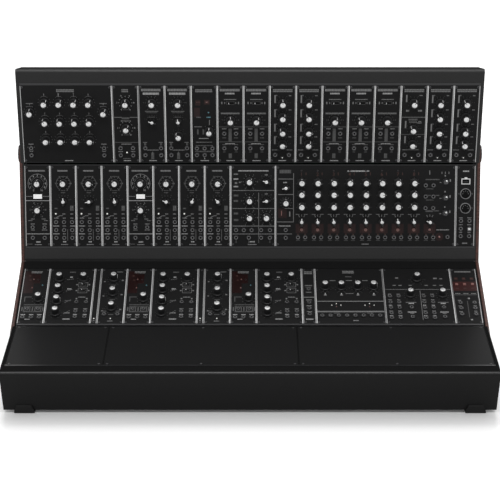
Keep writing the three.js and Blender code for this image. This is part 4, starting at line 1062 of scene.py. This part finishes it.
# Each kind's units of width, its face, and its controls: letter, places across and up, as shares of its size
KINDS = {
    "filterBank": (28, filter_bank, "k .259,.42,.581,.741 .784,.54,.3; k .097,.901 .662"),
    "twoKnob": (8, noise, "k .5 .78,.453"),
    "coupler": (8, coupler, "k .5 .78; p .5 .545"),
    "filter": (8, coupler, "k .5 .78,.355; p .5 .545"),
    "meter": (8, meter, "k .675 .414"),
    "voiceMeter": (8, voice_meter, "k .692 .424"),
    "amplifier": (8, amplifier, "k .5 .556"),
    "envelope": (8, envelope, "k .5 .78,.597,.41,.246"),
    "delay": (8, delay, "k .5 .78,.443,.246"),
    "driver": (8, driver, "k .5 .78,.454"),
    "oscillator": (8, oscillator, "k .5 .78; p .5 .557"),
    "switcher": (14, switcher, "k .417 .801,.566,.357; p .793 .801,.566; k .793 .357"),
    "sequencer": (56, sequencer,
                  STEPS + f"p {STEP_XS[8]} .304; t .943 .8,.603,.413; p .056 .726; k .056 .54"),
    "interface": (6, interface, ""),
    "ladder": (14, ladder, "k .23 .794,.585,.378,.171; k .763 .794"),
    "strip": (2, strip, ""),
    "wideStrip": (4, wide_strip, ""),
    "shaper": (8, shaper, "k .5 .796,.532,.263"),
    "mixer": (21, mixer, "k .144,.38,.62,.851 .637"),
    "output": (21, output, "k .38 .502; k .499 .794; k .845 .502"),
    "clock": (8, clock, ""),
    "blankNarrow": (28, None, ""),
    "blankWide": (56, None, ""),
}
# Banks of each row from left to right: name, kinds, and the nodes that move, by module and control
ROWS = {
    ("upper", 1): """
filter_bank_module filterBank 0.12=filter_bank_level_knob
noise_and_filter_modules twoKnob,coupler,filter 0.0=noise_filter_knob
level_meter_module meter 0.0=meter_level_knob
amplifier_modules_left amplifier,amplifier 0.0=amplifier_gain_knob
envelope_modules_left envelope,envelope 0.0=envelope_attack_knob
amplifier_modules_right amplifier,amplifier,amplifier
envelope_modules_right delay,envelope,envelope
""",
    ("upper", -1): """
oscillator_modules_left driver,oscillator,oscillator,oscillator 0.0=driver_tune_knob \
    1.1=oscillator_range_selector
oscillator_modules_right driver,oscillator,oscillator,oscillator 1.0=oscillator_tune_knob
sequential_switch_module switcher 0.1=switch_speed_knob
sequencer_module sequencer 0.0=sequencer_step_knob 0.3=sequencer_step_selector \
    0.4=sequencer_step_button 0.41=sequencer_top_toggle 0.42=sequencer_middle_toggle \
    0.43=sequencer_bottom_toggle 0.45=sequencer_rate_knob
midi_interface_module interface
""",
    ("lower", 1): """
voice_modules_left voiceMeter,ladder,strip,shaper 1.0=left_voice_cutoff_knob
voice_modules_centre voiceMeter,ladder,strip,shaper 1.0=centre_voice_cutoff_knob
voice_modules_right voiceMeter,ladder,wideStrip 1.0=right_voice_cutoff_knob
mixer_module mixer 0.0=mixer_channel_knob
output_module output 0.1=output_volume_knob
clock_module clock
""",
    ("lower", -1): """
blank_panel_left blankNarrow
blank_panel_centre blankWide
blank_panel_right blankWide
""",
}


def build_mover(name, kind, place, at):
    """A control that moves, over the node of the same name."""
    part = Part()
    if kind == "toggle":
        part.add(TOGGLE_LEVER, "cap", at @ move(0, 0, 2) @ turn(math.radians(-12), "X"))
    elif kind == "button":
        part.add(MOVING_BUTTON, "button", at)
    else:
        {"knob": add_knob, "pointer": add_pointer}[kind](part, at, True)
    slot = {"toggle": "steel", "button": "button_plastic"}.get(kind, "knob_plastic")
    part.make(f"{name}_fine", place, slot, name)


def build_bank(name, kinds, movers, place, x0):
    """One bank's modules with their marks, fittings and controls; gives the place where the next starts."""
    marks, fittings, fixed = Part(), Part(), Part()
    count = 0
    for index, kind in enumerate(kinds):
        units, draw, rows = KINDS[kind]
        width = units * UNIT
        face = Face(marks, fittings, x0, width)
        controls = [(CONTROLS[letter], x * width, y * PANEL) for letter, x, y, _ in read_rows(rows)]
        if draw:
            draw(face, [spot for _, *spot in controls])
            # Painted glints and shade: each module's silver edges take the plain silver or a brighter or
            # darker copy of it, in a repeating order
            for x, thick, late in ((0.85, 1.1, 0), (width - 0.9, 1.2, 3)):
                edge = ("silver", "silver_bright", "silver_dull", "silver")[int(x0 / UNIT + late) // 2 % 4]
                face.line(x, 0.4, x, PANEL - 0.4, edge, thick)
            face.screws((3.4, width - 3.4) if width > 12 else (face.middle,))
        else:
            gaps = 2 if units > 30 else 1
            face.screws([6 + i * (width - 12) / gaps for i in range(gaps + 1)])
            # Painted shade: near-black lines along the seams between the blank panels
            for x in (0.7, width - 0.7):
                face.line(x, 0, x, PANEL, "hollow", 1.2)
        for number, (control, x, y) in enumerate(controls):
            at = face.at(x, y)
            if control == "toggle":
                add_toggle_seat(fittings, at)
            mover = movers.get(f"{index}.{number}")
            if mover:
                build_mover(mover, control, place, at)
                continue
            # Each control that stays is turned its own way
            count += 1
            if control == "knob":
                add_knob(fixed, at @ turn(math.radians(count * 67 % 200 - 100), "Z"), False)
            elif control == "pointer":
                add_pointer(fixed, at @ turn(math.radians(30 * (count % 5) - 20), "Z"), False)
            elif control == "button":
                fixed.add(FIXED_BUTTON, "button", at)
        x0 += width
    marks.make(f"{name}_marks", place, "panel_paint")
    fittings.make(f"{name}_fittings", place, "steel")
    fixed.make(f"{name}_knobs", place, "knob_plastic")
    return x0


build_case("lower", LOWER)
build_case("upper", UPPER)
build_bracket("left", -1)
build_bracket("right", 1)
build_stand("lower", LOWER, math.radians(20 - LOWER_TILT))
build_stand("upper", UPPER, -UP)
for (case, side), banks in ROWS.items():
    x0 = 0.0
    for bank in banks.strip().splitlines():
        name, kinds, *movers = bank.split()
        movers = dict(mover.split("=") for mover in movers)
        x0 = build_bank(name, kinds.split(","), movers, row_matrix(case, side), x0)

# Low round feet on the base of the upper case, and a dark rubber strip filling the gap where the two cases
# meet, as painted shade
pads = Part()
pad = lathe([(radius, BASE_LEVEL + z) for radius, z in ((9, 0.3), (9, -2.6), (8.2, -3.4), (0, -3.4))], 40)
for x in (-330, 330):
    for y in (-BASE_REACH + 34, BASE_REACH - 34):
        pads.add(pad, "rubber", move(x, y))
pads.make("upper_case_pads", UPPER, "foot_rubber")
edge_lower, edge_upper = (side_view(case, row_point(side, CORNER_REACH - ARC_REACH, -EDGE_RADIUS))
                          for case, side in ((LOWER, 1), (UPPER, -1)))
meeting = (edge_lower + edge_upper) / 2
across = (edge_upper - edge_lower).normalized()
along = Vector((-across.y, across.x))
# Painted shade: the strip stands where the gap between the cases is only shade
gap_shade_strip = Part()
outline = [meeting + across * a + along * b for a, b in ((-1.1, -2.6), (1.1, -2.6), (1.1, 2.6), (-1.1, 2.6))]
gap_shade_strip.add(mesh_shape(extruded(outline, -HALF_INNER, HALF_INNER, bevel=0.3)), "rubber")
gap_shade_strip.make("case_foam_strip", IDENTITY, "foot_rubber")


# Floor, light and camera
def seen_by(tree, *rays):
    """1 for these kinds of ray, and 0 for all others."""
    path = add_node(tree, "LightPath").outputs
    seen = path[rays[0]]
    for ray in rays[1:]:
        seen = add_node(tree, "Math", {0: seen, 1: path[ray]}, "MAXIMUM").outputs[0]
    return seen


floor_mesh = bpy.data.meshes.new("floor")
corners = [(x, y, -0.0005) for x, y in ((-30, -30), (30, -30), (30, 30), (-30, 30))]
floor_mesh.from_pydata(corners, [], [[0, 1, 2, 3]])
floor = bpy.data.objects.new("floor", floor_mesh)
scene.collection.objects.link(floor)
floor_look = bpy.data.materials.new("pale_floor")
floor_look.use_nodes = True
tree = floor_look.node_tree
# The white of the backdrop starts a little away from the object: the floor's glow is weak over its footprint,
# which keeps the shadow under it and adds painted shade around it
spot = add_node(tree, "TexCoord").outputs["Object"]
parts = add_node(tree, "SeparateXYZ", {0: spot}).outputs
away = []
for axis, half_size in ((0, 0.34), (1, 0.17)):
    size = add_node(tree, "Math", {0: parts[axis]}, "ABSOLUTE")
    away.append(add_node(tree, "Math", {0: size, 1: half_size}, "SUBTRACT"))
reach = add_node(tree, "Math", {0: away[0], 1: away[1]}, "MAXIMUM")
glow = add_node(tree, "MapRange", {"Value": reach, "From Max": 0.12, "To Min": 0.03, "To Max": 0.55})
lift_with_painted_shade = add_node(tree, "Math", {0: seen_by(tree, "Is Camera Ray", "Is Glossy Ray"), 1: glow}, "MULTIPLY")
feed(tree, tree.nodes["Principled BSDF"], {
    "Base Color": (0.82, 0.82, 0.82, 1), "Roughness": 0.3, "Specular IOR Level": 0.6,
    "Emission Color": (1, 1, 1, 1), "Emission Strength": lift_with_painted_shade})
floor_mesh.materials.append(floor_look)

world = bpy.data.worlds.new("studio")
scene.world = world
world.use_nodes = True
tree = world.node_tree
seen = seen_by(tree, "Is Camera Ray", "Is Glossy Ray", "Is Transmission Ray")
level = add_node(tree, "MapRange", {"Value": seen, "To Min": 0.5, "To Max": 1.0})
feed(tree, tree.nodes["Background"], {"Color": (1, 1, 1, 1), "Strength": level})


def soft_light(name, spot, target, size, power):
    lamp = bpy.data.lights.new(name, "AREA")
    lamp.shape = "RECTANGLE"
    lamp.size, lamp.size_y = size
    lamp.energy = power
    holder = bpy.data.objects.new(name, lamp)
    holder.location = spot
    holder.rotation_euler = (Vector(target) - Vector(spot)).to_track_quat("-Z", "Y").to_euler()
    scene.collection.objects.link(holder)


soft_light("top_light", (0, 0.45, 2.3), (0, 0, 0.2), (2.8, 0.6), 12)
soft_light("front_light", (0, -1.7, 2.3), (0, -0.1, 0.2), (2.4, 0.4), 38)
soft_light("back_light", (0, 2.2, 2.3), (0, -0.4, 0), (1.6, 0.4), 30)

camera_data = bpy.data.cameras.new("camera")
camera_data.lens = 123.618
camera_data.sensor_width = 36
camera_data.clip_end = 100
camera = bpy.data.objects.new("camera", camera_data)
camera.location = (0, -2.4924, 0.98915)
camera.rotation_euler = (math.radians(90 - 17.631), 0, 0)
scene.collection.objects.link(camera)
scene.camera = camera
scene.view_settings.view_transform = "Standard"
